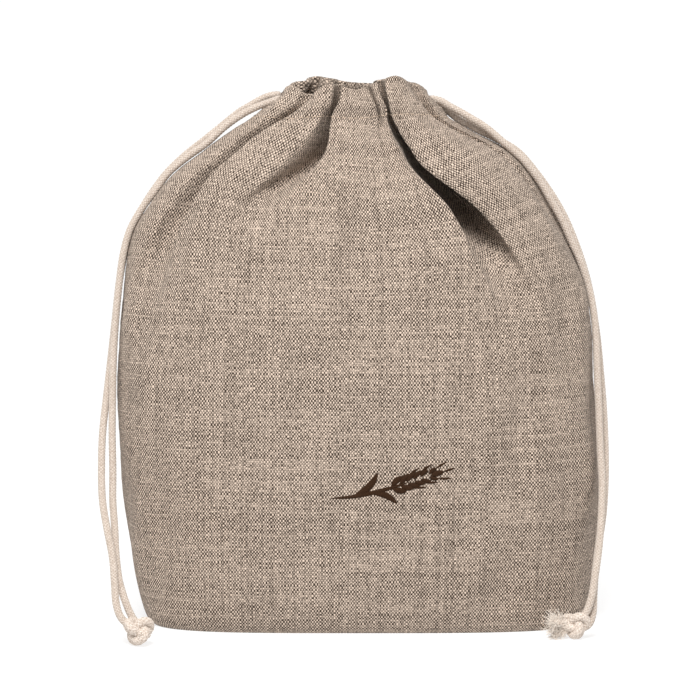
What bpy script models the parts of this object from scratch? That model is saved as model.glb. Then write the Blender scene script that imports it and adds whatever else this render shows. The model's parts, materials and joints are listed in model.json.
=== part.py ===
"""Linen drawstring bread bag, filled and drawn shut, standing on its flat bottom.

The bag is one piece of cloth: a wall swept through cross-sections from the floor to the mouth,
gathered into deep folds where the drawstrings draw it in, with a folded hem round the mouth.
The hem is the drawstrings' channel and has a side opening at each seam. Two strands of cord
leave each opening, lie over the shoulder, hang beside the bag and end in a knot on the floor.

Units are metres, +Z is up, the front faces -Y and the origin is the middle of the bottom.
Angles run round the bag seen from above: -90 is the front, 0 the right seam, 90 the back
and 180 the left seam.
"""
import math

import bpy
import numpy as np

# ---------------------------------------------------------------- driving dimensions
MM = 0.001

CLOTH_ROUND = 600 * MM            # cloth measured once round the bag
CLOTH_THICKNESS = 1.6 * MM
HEM_THICKNESS = 2.3 * MM          # the folded hem is two layers

RIM_HEIGHT = 286 * MM             # mouth edge before its rise and fall
STITCH_HEIGHT = 269 * MM          # the hem's stitch line
STITCH_PINCH = 1.0 * MM           # the stitching draws the cloth in this far,
STITCH_REACH = 4.0 * MM           # fading over this height below it
CHANNEL_SWELL = 1.3 * MM          # the cords inside push the hem out
PINCH_POWER = 4                   # how fast the pinch gives way to the swell above the stitching

COLUMNS_PER_MM = 0.185            # mesh columns for each millimetre of cloth
LEAST_COLUMNS = 5                 # in the narrowest lobe
NORMAL_REACH = 0.8 * MM           # half the stretch of outline each normal is taken across
WALL_HEIGHTS = (0.0, 2.5, 7.0, 18.0, 42.0, 80.0, 114.0, 137.0, 154.0, 170.0, 184.0, 197.0, 209.0,
                220.0, 230.0, 240.0, 249.0, 257.0, 264.5, 271.0, 278.0, 286.0)   # millimetres

OPENING_SIZE = (13.0 * MM, 7.6 * MM)      # side opening, front to back and up
OPENING_DEPTH = 15.0 * MM
OPENING_SIDES = 20

CORD_DIAMETER = 4.2 * MM
CORD_POINTS = 24
ROUTE_STEPS = 12                  # curve steps between two route points

# The bag's smooth outline, without its folds: millimetres, and the superellipse's power.
SECTION_COLUMNS = ("height", "left", "right", "front", "back", "power")
SECTIONS = (
    (0.0, 112.6, 119.6, 48.6, 46.0, 3.8),
    (2.5, 115.2, 122.6, 51.6, 49.0, 3.7),
    (7.0, 116.9, 124.4, 53.4, 51.0, 3.6),
    (18.0, 119.4, 126.2, 55.2, 52.6, 3.3),
    (42.0, 123.2, 128.9, 57.0, 54.4, 3.0),
    (80.0, 127.2, 129.8, 58.2, 55.4, 2.8),
    (118.0, 128.8, 126.6, 57.4, 54.8, 2.7),
    (146.0, 128.0, 124.4, 55.2, 52.8, 2.6),
    (166.0, 126.8, 122.6, 52.8, 50.2, 2.5),
    (184.0, 124.4, 119.0, 49.8, 47.2, 2.45),
    (206.0, 119.0, 110.0, 45.8, 43.2, 2.4),
    (222.0, 110.4, 101.0, 42.2, 40.0, 2.35),
    (237.0, 99.6, 91.6, 38.4, 36.6, 2.3),
    (250.0, 83.4, 79.4, 34.8, 33.0, 2.25),
    (260.0, 69.0, 60.8, 31.6, 29.6, 2.2),
    (268.0, 57.0, 49.2, 29.0, 27.0, 2.2),
    (274.0, 48.6, 43.6, 27.6, 25.4, 2.2),
    (280.0, 42.6, 38.6, 26.6, 24.0, 2.2),
    (290.0, 37.6, 34.0, 26.0, 22.6, 2.2),
)

# The folds that take up the spare cloth at the neck. Each is a trough, at these angles (degrees)
# at the rim, neck, shoulder, upper wall and foot, where it fades at the foot's height. Depths and
# widths are millimetres. Lean is how far the bottom slides sideways for each unit of depth, where
# the trough is deepest. Swell is how far the lobe of cloth after the fold stands out.
FOLD_COLUMNS = ("name", "rim_at", "neck_at", "shoulder_at", "upper_at", "foot_at", "foot_height",
                "rim_depth", "neck_depth", "shoulder_depth", "upper_depth",
                "neck_width", "shoulder_width", "upper_width", "lean", "swell")
FOLDS = (
    ("left_cheek", -131, -136, -144, -147, -152, 160, 2.5, 8.0, 12.0, 7.0, 12, 15, 22, 0.75, 2.6),
    ("left_trough", -107, -105, -103, -113, -120, 178, 7.0, 13.0, 17.0, 7.0, 12, 19, 30, 0.4, 1.2),
    ("centre_pleat", -82, -80, -80, -80, -80, 248, 5.0, 6.0, 0.6, 0.0, 7, 12, 30, 0.0, 0.6),
    ("great_fold", -71, -72, -76, -62, -48, 144, 7.0, 12.0, 26.0, 23.0, 9, 15, 25, 0.8, 4.2),
    ("right_cheek", -38, -32, -19, -14, -14, 170, 2.5, 6.0, 5.0, 3.0, 12, 16, 24, 0.0, 0.3),
    ("right_back", 22, 24, 22, 22, 24, 172, 5.5, 10.0, 11.0, 5.0, 12, 16, 24, -0.3, 2.4),
    ("back_right_dip", 52, 52, 50, 54, 60, 158, 6.0, 10.0, 15.0, 8.0, 12, 18, 26, 0.4, 2.8),
    ("back_middle_dip", 84, 84, 86, 82, 78, 186, 4.5, 9.0, 12.0, 5.0, 12, 16, 24, -0.35, 2.0),
    ("back_left_dip", 112, 112, 114, 121, 128, 150, 6.0, 10.0, 17.0, 10.0, 12, 18, 28, 0.4, 3.0),
    ("left_back", 141, 143, 148, 152, 156, 172, 5.5, 9.0, 10.0, 5.0, 12, 16, 24, 0.0, 0.0),
)
SWELL_HEIGHTS = (286.0, 268.0, 245.0, 215.0, 165.0)   # the lobes' swell along the wall,
SWELL_SHARES = (0.25, 0.7, 1.0, 0.55, 0.0)            # as shares of its greatest
FOLD_LEVELS = (286.0, 271.0, 250.0, 220.0)     # rim, neck, shoulder and upper wall, millimetres
FOOT_FOLD_WIDTH = 52.0
SHARE_HEIGHT = 150.0              # where each fold's share of the cloth is measured, millimetres
FOOT_BLEND_BELOW = 30.0           # a fold's place changes from its share of the cloth to its
FOOT_BLEND_SPAN = 45.0            # angle over this span, from this far below its foot
WALL_WIDEST = 0.42                # a trough's wall takes at most this share of a lobe's width
WALL_LONGEST = 0.44               # and at most this share of its cloth
WALL_EASE = 0.5                   # how gently the columns slow down on a steep wall

# Where the mouth's edge rises or dips: degrees, half-width in degrees, rise in millimetres.
RIM_WAVES = ((-180, 26, -4.6), (-129, 22, 3.4), (-106, 11, 1.4), (-90, 12, -1.2),
             (-62, 20, 3.4), (0, 30, -5.0), (66, 26, -2.2), (98, 20, -1.6), (128, 24, -2.6))
RIM_WAVE_SHARPNESS = 1.6
RIM_WAVE_FADE = 30.0              # millimetres below the rim
RIM_FADE_POWER = 1.5

# Cord routes, chosen by hand: millimetres.
LEFT_OUTER_ROUTE = (
    (-41.2, 1.4, 277.6), (-48.8, 2.0, 277.1), (-55.5, 2.5, 274.6), (-63.6, 2.6, 270.6),
    (-72.2, 2.5, 265.0), (-82.0, 2.3, 257.0), (-92.2, 2.3, 249.0), (-101.7, 1.9, 240.0),
    (-108.9, 0.9, 230.0), (-115.6, 0.2, 219.6), (-121.1, -0.6, 208.4), (-124.9, -2.0, 195.8),
    (-128.0, -4.0, 180.4), (-130.3, -7.3, 162.0), (-132.7, -11.8, 143.0), (-135.0, -18.2, 123.0),
    (-136.0, -26.8, 103.3), (-135.5, -36.0, 85.0), (-133.8, -45.0, 69.5), (-130.8, -54.5, 56.0),
    (-128.3, -62.5, 43.0), (-126.8, -70.0, 31.0), (-125.4, -75.5, 21.5), (-120.8, -79.9, 13.2))
LEFT_INNER_ROUTE = (
    (-41.2, -3.4, 277.6), (-48.9, -3.0, 277.0), (-55.5, -2.6, 274.2), (-63.0, -2.5, 270.0),
    (-71.4, -2.5, 264.3), (-81.0, -2.7, 256.3), (-91.3, -2.8, 248.5), (-100.9, -3.3, 239.5),
    (-108.1, -4.2, 229.9), (-114.8, -5.0, 219.4), (-120.6, -5.9, 208.1), (-124.9, -7.3, 195.6),
    (-127.4, -9.3, 180.2), (-129.7, -12.7, 161.8), (-131.2, -17.2, 142.4), (-131.7, -22.4, 122.4),
    (-130.9, -28.2, 102.8), (-129.8, -34.4, 84.2), (-128.3, -41.8, 69.2), (-126.4, -50.4, 56.0),
    (-124.3, -58.6, 43.2), (-121.9, -66.4, 31.4), (-118.6, -73.2, 21.8), (-115.5, -77.5, 15.5))
RIGHT_BACK_ROUTE = (
    (36.6, 2.7, 277.7), (43.0, 2.5, 277.9), (49.3, 2.2, 275.8), (56.6, 1.9, 271.6),
    (65.4, 1.8, 266.2), (77.4, 1.9, 257.0), (88.0, 2.0, 246.4), (96.4, 1.9, 236.0),
    (103.6, 1.4, 225.6), (109.6, 0.8, 215.0), (114.6, 0.0, 204.2), (118.9, -1.1, 192.6),
    (122.5, -2.4, 180.4), (125.3, -4.2, 166.8), (127.8, -6.6, 150.8), (129.9, -10.0, 133.0),
    (131.6, -14.6, 114.6), (132.7, -20.6, 96.0), (132.6, -28.0, 79.0), (130.8, -36.4, 62.6),
    (128.0, -44.6, 47.6), (125.0, -52.0, 33.6), (122.2, -57.6, 22.4), (118.8, -60.9, 12.9))
RIGHT_FRONT_ROUTE = (
    (36.6, -2.3, 277.7), (43.4, -2.6, 277.9), (49.6, -3.0, 275.5), (56.0, -3.5, 271.0),
    (64.6, -4.0, 264.3), (76.0, -4.0, 255.4), (87.7, -3.5, 245.9), (96.2, -3.4, 235.1),
    (102.6, -3.9, 224.2), (108.6, -4.5, 213.8), (113.6, -5.1, 203.4), (118.5, -6.1, 192.2),
    (122.2, -7.3, 180.0), (125.0, -9.1, 166.2), (126.9, -11.6, 150.4), (128.8, -15.1, 132.4),
    (130.0, -19.7, 113.8), (130.5, -25.7, 94.8), (129.4, -33.1, 77.4), (127.0, -41.5, 61.0),
    (123.9, -49.5, 46.4), (120.8, -56.9, 32.4), (117.4, -61.6, 21.4), (114.8, -63.0, 15.2))

# Knots: middle and half-sizes in millimetres, and the tails' directions and lengths.
KNOT_COLUMNS = ("name", "middle", "half_size", "turn", "tails")
KNOTS = (
    ("left_knot", (-112.2, -80.4, 8.4), (8.4, 8.0, 8.1), 25.0,
     (((0.75, -0.35, -0.35), 11.2), ((0.35, -0.8, -0.3), 10.6))),
    ("right_knot", (113.2, -62.6, 7.2), (9.4, 7.6, 6.9), -20.0,
     (((-1.0, -0.10, -0.10), 17.5), ((-0.9, 0.40, 0.02), 16.0))),
)
KNOT_SEGMENTS = 22
KNOT_RINGS = 12
KNOT_TURNS = 3                    # bulges where the strands wrap round,
KNOT_TWIST = 2.4                  # turning this many radians from the middle to the top
KNOT_BULGE = 0.11
TAIL_SIDES = 12
TAIL_FLARE = 0.62                 # the tail's end radius, as a share of the cord's diameter

LINEN = ("linen", (0.393, 0.309, 0.250, 1.0), 0.92)
COTTON = ("cotton_cord", (0.665, 0.546, 0.470, 1.0), 0.85)
COTTON_KNOT = ("cotton_knot", (0.745, 0.620, 0.530, 1.0), 0.88)


# ---------------------------------------------------------------- small helpers
def smooth_curve(at, knots, values):
    """Monotone cubic through (knots, values), read at the numbers in `at`."""
    order = np.argsort(knots)
    x = np.asarray(knots, float)[order]
    y = np.asarray(values, float)[order]
    step = np.diff(x)
    slope = np.diff(y) / step
    tangent = np.empty_like(y)
    tangent[0], tangent[-1] = slope[0], slope[-1]
    product = slope[:-1] * slope[1:]
    total = slope[:-1] + slope[1:]
    tangent[1:-1] = np.where(product > 0, 2 * product / np.where(total == 0, 1, total), 0.0)
    where = np.clip(at, x[0], x[-1])
    i = np.clip(np.searchsorted(x, where) - 1, 0, len(step) - 1)
    t = (where - x[i]) / step[i]
    return ((2 * t**3 - 3 * t**2 + 1) * y[i] + (t**3 - 2 * t**2 + t) * step[i] * tangent[i]
            + (3 * t**2 - 2 * t**3) * y[i + 1] + (t**3 - t**2) * step[i] * tangent[i + 1])


def column(table, names, name):
    """One named column of a table of rows."""
    return np.array([row[names.index(name)] for row in table], float)


def material(name, colour, roughness):
    """A plain Principled material."""
    made = bpy.data.materials.new(name)
    made.use_nodes = True
    shader = made.node_tree.nodes["Principled BSDF"]
    shader.inputs["Base Color"].default_value = colour
    shader.inputs["Roughness"].default_value = roughness
    shader.inputs["Metallic"].default_value = 0.0
    made.diffuse_color = colour
    return made


# ---------------------------------------------------------------- the bag's surface
class Section:
    """The smooth outline at one height, read by the distance along it from the left seam."""

    SAMPLES = 1441

    def __init__(self, height):
        size = {name: float(smooth_curve(height, column(SECTIONS, SECTION_COLUMNS, "height"),
                                         column(SECTIONS, SECTION_COLUMNS, name)))
                for name in SECTION_COLUMNS[1:]}
        self.angles = np.linspace(-180.0, 180.0, self.SAMPLES)
        turn = np.radians(self.angles)
        across = np.where(np.cos(turn) < 0, size["left"], size["right"])
        depth = np.where(np.sin(turn) < 0, size["front"], size["back"])
        power = 2.0 / size["power"]
        x = across * np.sign(np.cos(turn)) * np.abs(np.cos(turn)) ** power
        y = depth * np.sign(np.sin(turn)) * np.abs(np.sin(turn)) ** power
        self.points = np.stack([x, y], axis=1) * MM
        steps = np.linalg.norm(np.diff(self.points, axis=0), axis=1)
        self.along = np.concatenate([[0.0], np.cumsum(steps)])
        self.length = self.along[-1]

    def distance_at(self, angle):
        """Distance along the outline at an angle in degrees."""
        return np.interp(angle, self.angles, self.along)

    def angle_at(self, distance):
        """Angle in degrees at a distance along the outline."""
        return np.interp(np.mod(distance, self.length), self.along, self.angles)

    def frame_at(self, distance):
        """Point, tangent and outward normal at distances along the outline."""
        def point(d):
            wrapped = np.mod(d, self.length)
            return np.stack([np.interp(wrapped, self.along, self.points[:, k]) for k in (0, 1)],
                            axis=-1)
        tangent = point(distance + NORMAL_REACH) - point(distance - NORMAL_REACH)
        tangent /= np.linalg.norm(tangent, axis=-1, keepdims=True)
        normal = np.stack([tangent[..., 1], -tangent[..., 0]], axis=-1)
        return point(distance), tangent, normal


def fold_value(name, height):
    """A fold quantity for every fold at one height, in the table's own units."""
    foot = column(FOLDS, FOLD_COLUMNS, "foot_height")
    shoulder = column(FOLDS, FOLD_COLUMNS, "shoulder_" + name)
    upper = column(FOLDS, FOLD_COLUMNS, "upper_" + name)
    if name == "width":
        rim = neck = column(FOLDS, FOLD_COLUMNS, "neck_width")
        last = np.full(len(FOLDS), FOOT_FOLD_WIDTH)
    else:
        rim = column(FOLDS, FOLD_COLUMNS, "rim_" + name)
        neck = column(FOLDS, FOLD_COLUMNS, "neck_" + name)
        last = column(FOLDS, FOLD_COLUMNS, "foot_at") if name == "at" else np.zeros(len(FOLDS))
    values = []
    for k in range(len(FOLDS)):
        knots = [*FOLD_LEVELS, foot[k]]
        levels = [rim[k], neck[k], shoulder[k], upper[k], last[k]]
        if foot[k] > FOLD_LEVELS[3]:           # a short fold has faded above the upper wall
            knots, levels = [*FOLD_LEVELS[:2], foot[k], 0.0], [*levels[:2], levels[2], last[k]]
        values.append(float(smooth_curve(height, knots, levels)))
    return np.array(values)


def fold_places(section, height):
    """Each fold's distance along the outline and its fixed share of the cloth, 0 to 1."""
    foot_section = Section(SHARE_HEIGHT)
    foot = foot_section.distance_at(column(FOLDS, FOLD_COLUMNS, "foot_at"))
    share = foot / foot_section.length
    natural = share * section.length
    chosen = section.distance_at(fold_value("at", height))
    foot_height = column(FOLDS, FOLD_COLUMNS, "foot_height")
    hold = np.clip((height - foot_height + FOOT_BLEND_BELOW) / FOOT_BLEND_SPAN, 0.0, 1.0)
    hold = hold * hold * (3.0 - 2.0 * hold)
    return natural + (chosen - natural) * hold, share


def lobe_row(section, height, lobe, where):
    """One lobe of cloth, from the bottom of fold `lobe` to the next, at one height.

    `where` runs 0 to 1 in equal lengths of cloth. Next to a fold the cloth drops down the
    trough's wall: it moves along the outline by half the trough's width, slowly where the wall
    is steep, and inward by half a cosine. In between it follows the outline.
    """
    places, shares = fold_places(section, height)
    after = (lobe + 1) % len(FOLDS)
    wrap = 1.0 if after == 0 else 0.0
    start, end = places[lobe], places[after] + wrap * section.length
    cloth = (shares[after] + wrap - shares[lobe]) * CLOTH_ROUND
    depths, widths = fold_value("depth", height) * MM, fold_value("width", height) * MM
    deepest = column(FOLDS, FOLD_COLUMNS, "shoulder_depth") * MM
    leans = column(FOLDS, FOLD_COLUMNS, "lean") * np.clip(depths / deepest, 0.0, 1.0)
    swell = column(FOLDS, FOLD_COLUMNS, "swell")[lobe] * MM
    swell *= float(smooth_curve(height, SWELL_HEIGHTS, SWELL_SHARES))

    distance = np.zeros_like(where)
    inward = np.zeros_like(where)
    slide = np.zeros_like(where)
    halves, parts = [], []
    for fold in (lobe, after):
        half = min(widths[fold] / 2, WALL_WIDEST * (end - start))
        halves.append(half)
        parts.append(min(WALL_LONGEST, math.hypot(half, depths[fold]) / cloth))
    crest = (where >= parts[0]) & (where <= 1 - parts[1])
    across = (where - parts[0]) / (1 - parts[0] - parts[1])
    distance[crest] = (start + halves[0]
                       + across[crest] * (end - halves[1] - start - halves[0]))
    inward[crest] = -swell * np.sin(math.pi * across[crest]) ** 2
    sides = ((lobe, where < parts[0], where / parts[0], 1, start),
             (after, where > 1 - parts[1], (1 - where) / parts[1], -1, end))
    for side, (fold, chosen, up, way, origin) in enumerate(sides):
        up = up[chosen]
        steep = depths[fold] / (depths[fold] + WALL_EASE * halves[side])
        move = up + steep * np.sin(2 * math.pi * up) / (2 * math.pi)
        distance[chosen] = origin + way * halves[side] * move
        inward[chosen] = depths[fold] * 0.5 * (1 + np.cos(math.pi * up))
        slide[chosen] = leans[fold] * inward[chosen]
    return distance, inward, slide


def hem_swell(height):
    """How far the hem stands out: a pinch at the stitch line and a swell over the cords."""
    above = height * MM - STITCH_HEIGHT
    if above < 0:
        return -STITCH_PINCH * math.exp(-(above / STITCH_REACH) ** 2)
    up = min(above / (RIM_HEIGHT - STITCH_HEIGHT), 1.0)
    return CHANNEL_SWELL * math.sin(math.pi * up) ** 2 - STITCH_PINCH * (1 - up) ** PINCH_POWER


def rim_rise(angle, height):
    """How far the mouth's edge waves up or down at an angle, fading below the rim."""
    fade = np.clip(1 - (RIM_HEIGHT / MM - height) / RIM_WAVE_FADE, 0.0, 1.0)
    rise = np.zeros_like(angle)
    for middle, half, size in RIM_WAVES:
        off = np.mod(angle - middle + 180.0, 360.0) - 180.0
        rise += size * np.exp(-RIM_WAVE_SHARPNESS * (off / half) ** 2)
    return rise * MM * fade ** RIM_FADE_POWER


def lobe_columns():
    """How many mesh columns each lobe gets, by its share of the cloth."""
    shares = fold_places(Section(SHARE_HEIGHT), SHARE_HEIGHT)[1]
    spans = np.diff(np.append(shares, shares[0] + 1.0)) * CLOTH_ROUND / MM
    return [max(LEAST_COLUMNS, round(float(span) * COLUMNS_PER_MM)) for span in spans]


def bag_grid():
    """The cloth's outer surface as rows of points, from the floor up to the mouth."""
    counts = lobe_columns()
    rows = []
    for height in WALL_HEIGHTS:
        section = Section(height)
        parts = [lobe_row(section, height, lobe, np.arange(count) / count)
                 for lobe, count in enumerate(counts)]
        distance, inward, slide = (np.concatenate(values) for values in zip(*parts))
        point, tangent, normal = section.frame_at(distance)
        out = hem_swell(height) - inward
        flat = point + normal * out[:, None] + tangent * slide[:, None]
        rise = rim_rise(section.angle_at(distance), height)
        rows.append(np.column_stack([flat, height * MM + rise]))
    return np.array(rows)


# ---------------------------------------------------------------- pieces
def mesh_object(name, vertices, faces, collection):
    """A new object from points and faces, smooth shaded."""
    mesh = bpy.data.meshes.new(name)
    mesh.from_pydata([tuple(v) for v in vertices], [], faces)
    mesh.update()
    mesh.shade_smooth()
    made = bpy.data.objects.new(name, mesh)
    collection.objects.link(made)
    return made


def make_bag(parts, cutters):
    """The bag's cloth: the wall and bottom as an open sheet, thickened inward."""
    grid = bag_grid()
    rows, columns = grid.shape[:2]
    faces = [(r * columns + c, r * columns + (c + 1) % columns,
              (r + 1) * columns + (c + 1) % columns, (r + 1) * columns + c)
             for r in range(rows - 1) for c in range(columns)]
    faces.append(tuple(reversed(range(columns))))
    bag = mesh_object("linen_bag", grid.reshape(-1, 3), faces, parts)

    hem = bag.vertex_groups.new(name="hem")
    for row, height in enumerate(WALL_HEIGHTS):
        if height * MM > STITCH_HEIGHT:
            hem.add(list(range(row * columns, (row + 1) * columns)), 1.0, "REPLACE")
    shell = bag.modifiers.new("thickness", "SOLIDIFY")
    shell.thickness = HEM_THICKNESS
    shell.offset = -1.0
    shell.use_even_offset = True
    shell.use_rim = True
    shell.vertex_group = hem.name
    shell.thickness_vertex_group = CLOTH_THICKNESS / HEM_THICKNESS

    for side, route in (("left", LEFT_OUTER_ROUTE), ("right", RIGHT_BACK_ROUTE)):
        cutter = opening_cutter(side, route, cutters)
        cut = bag.modifiers.new(side + "_opening", "BOOLEAN")
        cut.object = cutter
        cut.operation = "DIFFERENCE"
        cut.solver = "EXACT"
    bag.data.materials.append(material(*LINEN))
    return bag


def opening_cutter(side, route, cutters):
    """An oval bar along X through the hem, where both strands of one side come out."""
    partner = LEFT_INNER_ROUTE if side == "left" else RIGHT_FRONT_ROUTE
    middle = (np.array(route[0]) + np.array(partner[0])) / 2 * MM
    bpy.ops.mesh.primitive_cylinder_add(vertices=OPENING_SIDES, radius=0.5, depth=1.0)
    cutter = bpy.context.object
    cutter.name = side + "_opening_cutter"
    turn = np.array([[0, 0, 1], [1, 0, 0], [0, 1, 0]], float)
    size = np.array([OPENING_DEPTH, *OPENING_SIZE])
    for vertex in cutter.data.vertices:
        vertex.co = (turn @ np.array(vertex.co)) * size + middle
    for owner in list(cutter.users_collection):
        owner.objects.unlink(cutter)
    cutters.objects.link(cutter)
    cutter.hide_render = True
    cutter.display_type = "WIRE"
    return cutter


def smooth_route(points, count):
    """`count` points at even steps along a smooth curve through the route's own points."""
    route = np.array(points, float) * MM
    ends = np.vstack([2 * route[0] - route[1], route, 2 * route[-1] - route[-2]])
    dense = []
    for i in range(1, len(ends) - 2):
        a, b, c, d = ends[i - 1:i + 3]
        for t in np.linspace(0.0, 1.0, ROUTE_STEPS, endpoint=False):
            dense.append(0.5 * (2 * b + (c - a) * t + (2 * a - 5 * b + 4 * c - d) * t**2
                                + (3 * b - a - 3 * c + d) * t**3))
    dense.append(route[-1])
    dense = np.array(dense)
    along = np.concatenate([[0.0], np.cumsum(np.linalg.norm(np.diff(dense, axis=0), axis=1))])
    even = np.linspace(0.0, along[-1], count)
    return np.column_stack([np.interp(even, along, dense[:, k]) for k in range(3)])


def make_cord(name, route, parts):
    """One free strand of drawstring, as a capped tube."""
    curve = bpy.data.curves.new(name, "CURVE")
    curve.dimensions = "3D"
    curve.bevel_depth = CORD_DIAMETER / 2
    curve.bevel_resolution = 2
    curve.use_fill_caps = True
    points = smooth_route(route, CORD_POINTS)
    spline = curve.splines.new("POLY")
    spline.points.add(len(points) - 1)
    for place, point in zip(spline.points, points):
        place.co = (*point, 1.0)
    cord = bpy.data.objects.new(name, curve)
    parts.objects.link(cord)
    curve.materials.append(material(*COTTON))
    return cord


def make_knot(parts, cutters, name, middle, half_size, turn, tails):
    """An overhand knot: a rounded lump with the strands' wraps as bulges, and two cut tails."""
    bpy.ops.mesh.primitive_uv_sphere_add(segments=KNOT_SEGMENTS, ring_count=KNOT_RINGS, radius=1.0)
    knot = bpy.context.object
    knot.name = name
    for vertex in knot.data.vertices:
        x, y, z = vertex.co
        wraps = math.cos(KNOT_TURNS * math.atan2(y, x) + KNOT_TWIST * z + math.radians(turn))
        grow = 1 + KNOT_BULGE * wraps * (1 - z * z) - KNOT_BULGE
        vertex.co = (x * half_size[0] * grow, y * half_size[1] * grow, z * half_size[2])
    for vertex in knot.data.vertices:
        vertex.co = np.array(vertex.co) * MM + np.array(middle) * MM
    for owner in list(knot.users_collection):
        owner.objects.unlink(knot)
    parts.objects.link(knot)
    knot.data.shade_smooth()
    for number, (direction, length) in enumerate(tails):
        tail = make_tail(f"{name}_tail_{number + 1}", middle, direction, length, cutters)
        join = knot.modifiers.new(f"tail_{number + 1}", "BOOLEAN")
        join.object = tail
        join.operation = "UNION"
        join.solver = "EXACT"
    knot.data.materials.append(material(*COTTON_KNOT))
    return knot


def make_tail(name, middle, direction, length, cutters):
    """A short cut end of cord, a little wider where its fibres open."""
    bpy.ops.mesh.primitive_cone_add(vertices=TAIL_SIDES, radius1=CORD_DIAMETER / 2,
                                    radius2=CORD_DIAMETER * TAIL_FLARE, depth=length * MM)
    tail = bpy.context.object
    tail.name = name
    way = np.array(direction) / np.linalg.norm(direction)
    side = np.cross(way, (0.0, 0.0, 1.0))
    side /= np.linalg.norm(side)
    basis = np.column_stack([side, np.cross(way, side), way])
    for vertex in tail.data.vertices:
        local = np.array(vertex.co) + (0.0, 0.0, length * MM / 2)
        vertex.co = basis @ local + np.array(middle) * MM
    for owner in list(tail.users_collection):
        owner.objects.unlink(tail)
    cutters.objects.link(tail)
    tail.hide_render = True
    tail.display_type = "WIRE"
    return tail


def main():
    for old in list(bpy.data.objects):
        bpy.data.objects.remove(old, do_unlink=True)
    parts = bpy.data.collections.new("linen_bread_bag")
    cutters = bpy.data.collections.new("cutters")
    for made in (parts, cutters):
        bpy.context.scene.collection.children.link(made)
    make_bag(parts, cutters)
    for name, route in (("left_cord_outer", LEFT_OUTER_ROUTE),
                        ("left_cord_inner", LEFT_INNER_ROUTE),
                        ("right_cord_back", RIGHT_BACK_ROUTE),
                        ("right_cord_front", RIGHT_FRONT_ROUTE)):
        make_cord(name, route, parts)
    for row in KNOTS:
        make_knot(parts, cutters, **dict(zip(KNOT_COLUMNS, row)))


main()
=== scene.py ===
"""Linen bread bag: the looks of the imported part.

Makes the drawstring bag's fine cloth, braided cords, knots, hem stitching and embroidered sprig
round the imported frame, with a plain pale studio. Everything is in metres, +Z up, front at -Y.
"""
import json
import math

import bmesh
import bpy
import numpy as np
from bpy.props import FloatProperty, FloatVectorProperty, IntProperty, PointerProperty
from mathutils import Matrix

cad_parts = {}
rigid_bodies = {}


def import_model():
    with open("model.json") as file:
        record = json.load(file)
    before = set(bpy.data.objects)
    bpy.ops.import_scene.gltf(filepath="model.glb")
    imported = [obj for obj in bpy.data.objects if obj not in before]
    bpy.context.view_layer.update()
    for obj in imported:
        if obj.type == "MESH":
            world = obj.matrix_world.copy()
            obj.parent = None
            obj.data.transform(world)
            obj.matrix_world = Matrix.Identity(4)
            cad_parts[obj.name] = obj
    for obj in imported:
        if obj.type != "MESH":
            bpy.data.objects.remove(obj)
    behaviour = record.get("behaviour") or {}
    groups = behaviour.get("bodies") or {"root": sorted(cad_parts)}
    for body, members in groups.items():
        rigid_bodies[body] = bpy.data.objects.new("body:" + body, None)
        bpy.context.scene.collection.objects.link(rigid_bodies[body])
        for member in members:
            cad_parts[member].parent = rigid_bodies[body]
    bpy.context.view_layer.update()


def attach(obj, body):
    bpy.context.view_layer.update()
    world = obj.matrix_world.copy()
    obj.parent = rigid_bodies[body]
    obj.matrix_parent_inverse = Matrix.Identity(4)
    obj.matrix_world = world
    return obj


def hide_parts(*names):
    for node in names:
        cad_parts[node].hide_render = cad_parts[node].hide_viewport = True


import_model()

bl_info = {
    "name": "Linen Bread Bag",
    "version": (1, 0, 0),
    "blender": (4, 5, 0),
    "location": "3D View > Sidebar > Bread Bag",
    "description": "Fine cloth, braided cords, knots, stitching and embroidery for the bag",
    "category": "Object",
}

MM = 0.001

# ---------------------------------------------------------------- the bag's measured form
RIM_HEIGHT = 286.0                # millimetres, as every table below
STITCH_HEIGHT = 269.0
STITCH_PINCH = 1.0
STITCH_REACH = 4.0
PINCH_POWER = 4
CHANNEL_SWELL = 1.3

SECTION_COLUMNS = ("height", "left", "right", "front", "back", "power")
SECTIONS = (
    (0.0, 110.8, 118.0, 48.6, 46.0, 3.8),
    (2.5, 113.4, 120.9, 51.6, 49.0, 3.7),
    (7.0, 115.3, 122.6, 53.4, 51.0, 3.6),
    (18.0, 118.2, 124.2, 55.2, 52.6, 3.3),
    (42.0, 122.8, 127.0, 57.0, 54.4, 3.0),
    (80.0, 127.2, 129.2, 58.2, 55.4, 2.8),
    (118.0, 129.4, 125.7, 57.4, 54.8, 2.7),
    (146.0, 128.6, 124.8, 55.2, 52.8, 2.6),
    (166.0, 127.1, 122.8, 52.8, 50.2, 2.5),
    (184.0, 124.4, 119.0, 49.8, 47.2, 2.45),
    (206.0, 118.8, 110.0, 45.8, 43.2, 2.4),
    (222.0, 110.4, 101.0, 42.2, 40.0, 2.35),
    (237.0, 99.6, 91.6, 38.4, 36.6, 2.3),
    (250.0, 83.4, 79.4, 34.8, 33.0, 2.25),
    (260.0, 70.6, 60.8, 31.6, 29.6, 2.2),
    (268.0, 60.0, 49.2, 29.0, 27.0, 2.2),
    (274.0, 51.4, 43.6, 27.6, 25.4, 2.2),
    (280.0, 44.0, 38.6, 26.6, 24.0, 2.2),
    (290.0, 37.6, 34.0, 26.0, 22.6, 2.2),
)

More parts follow.
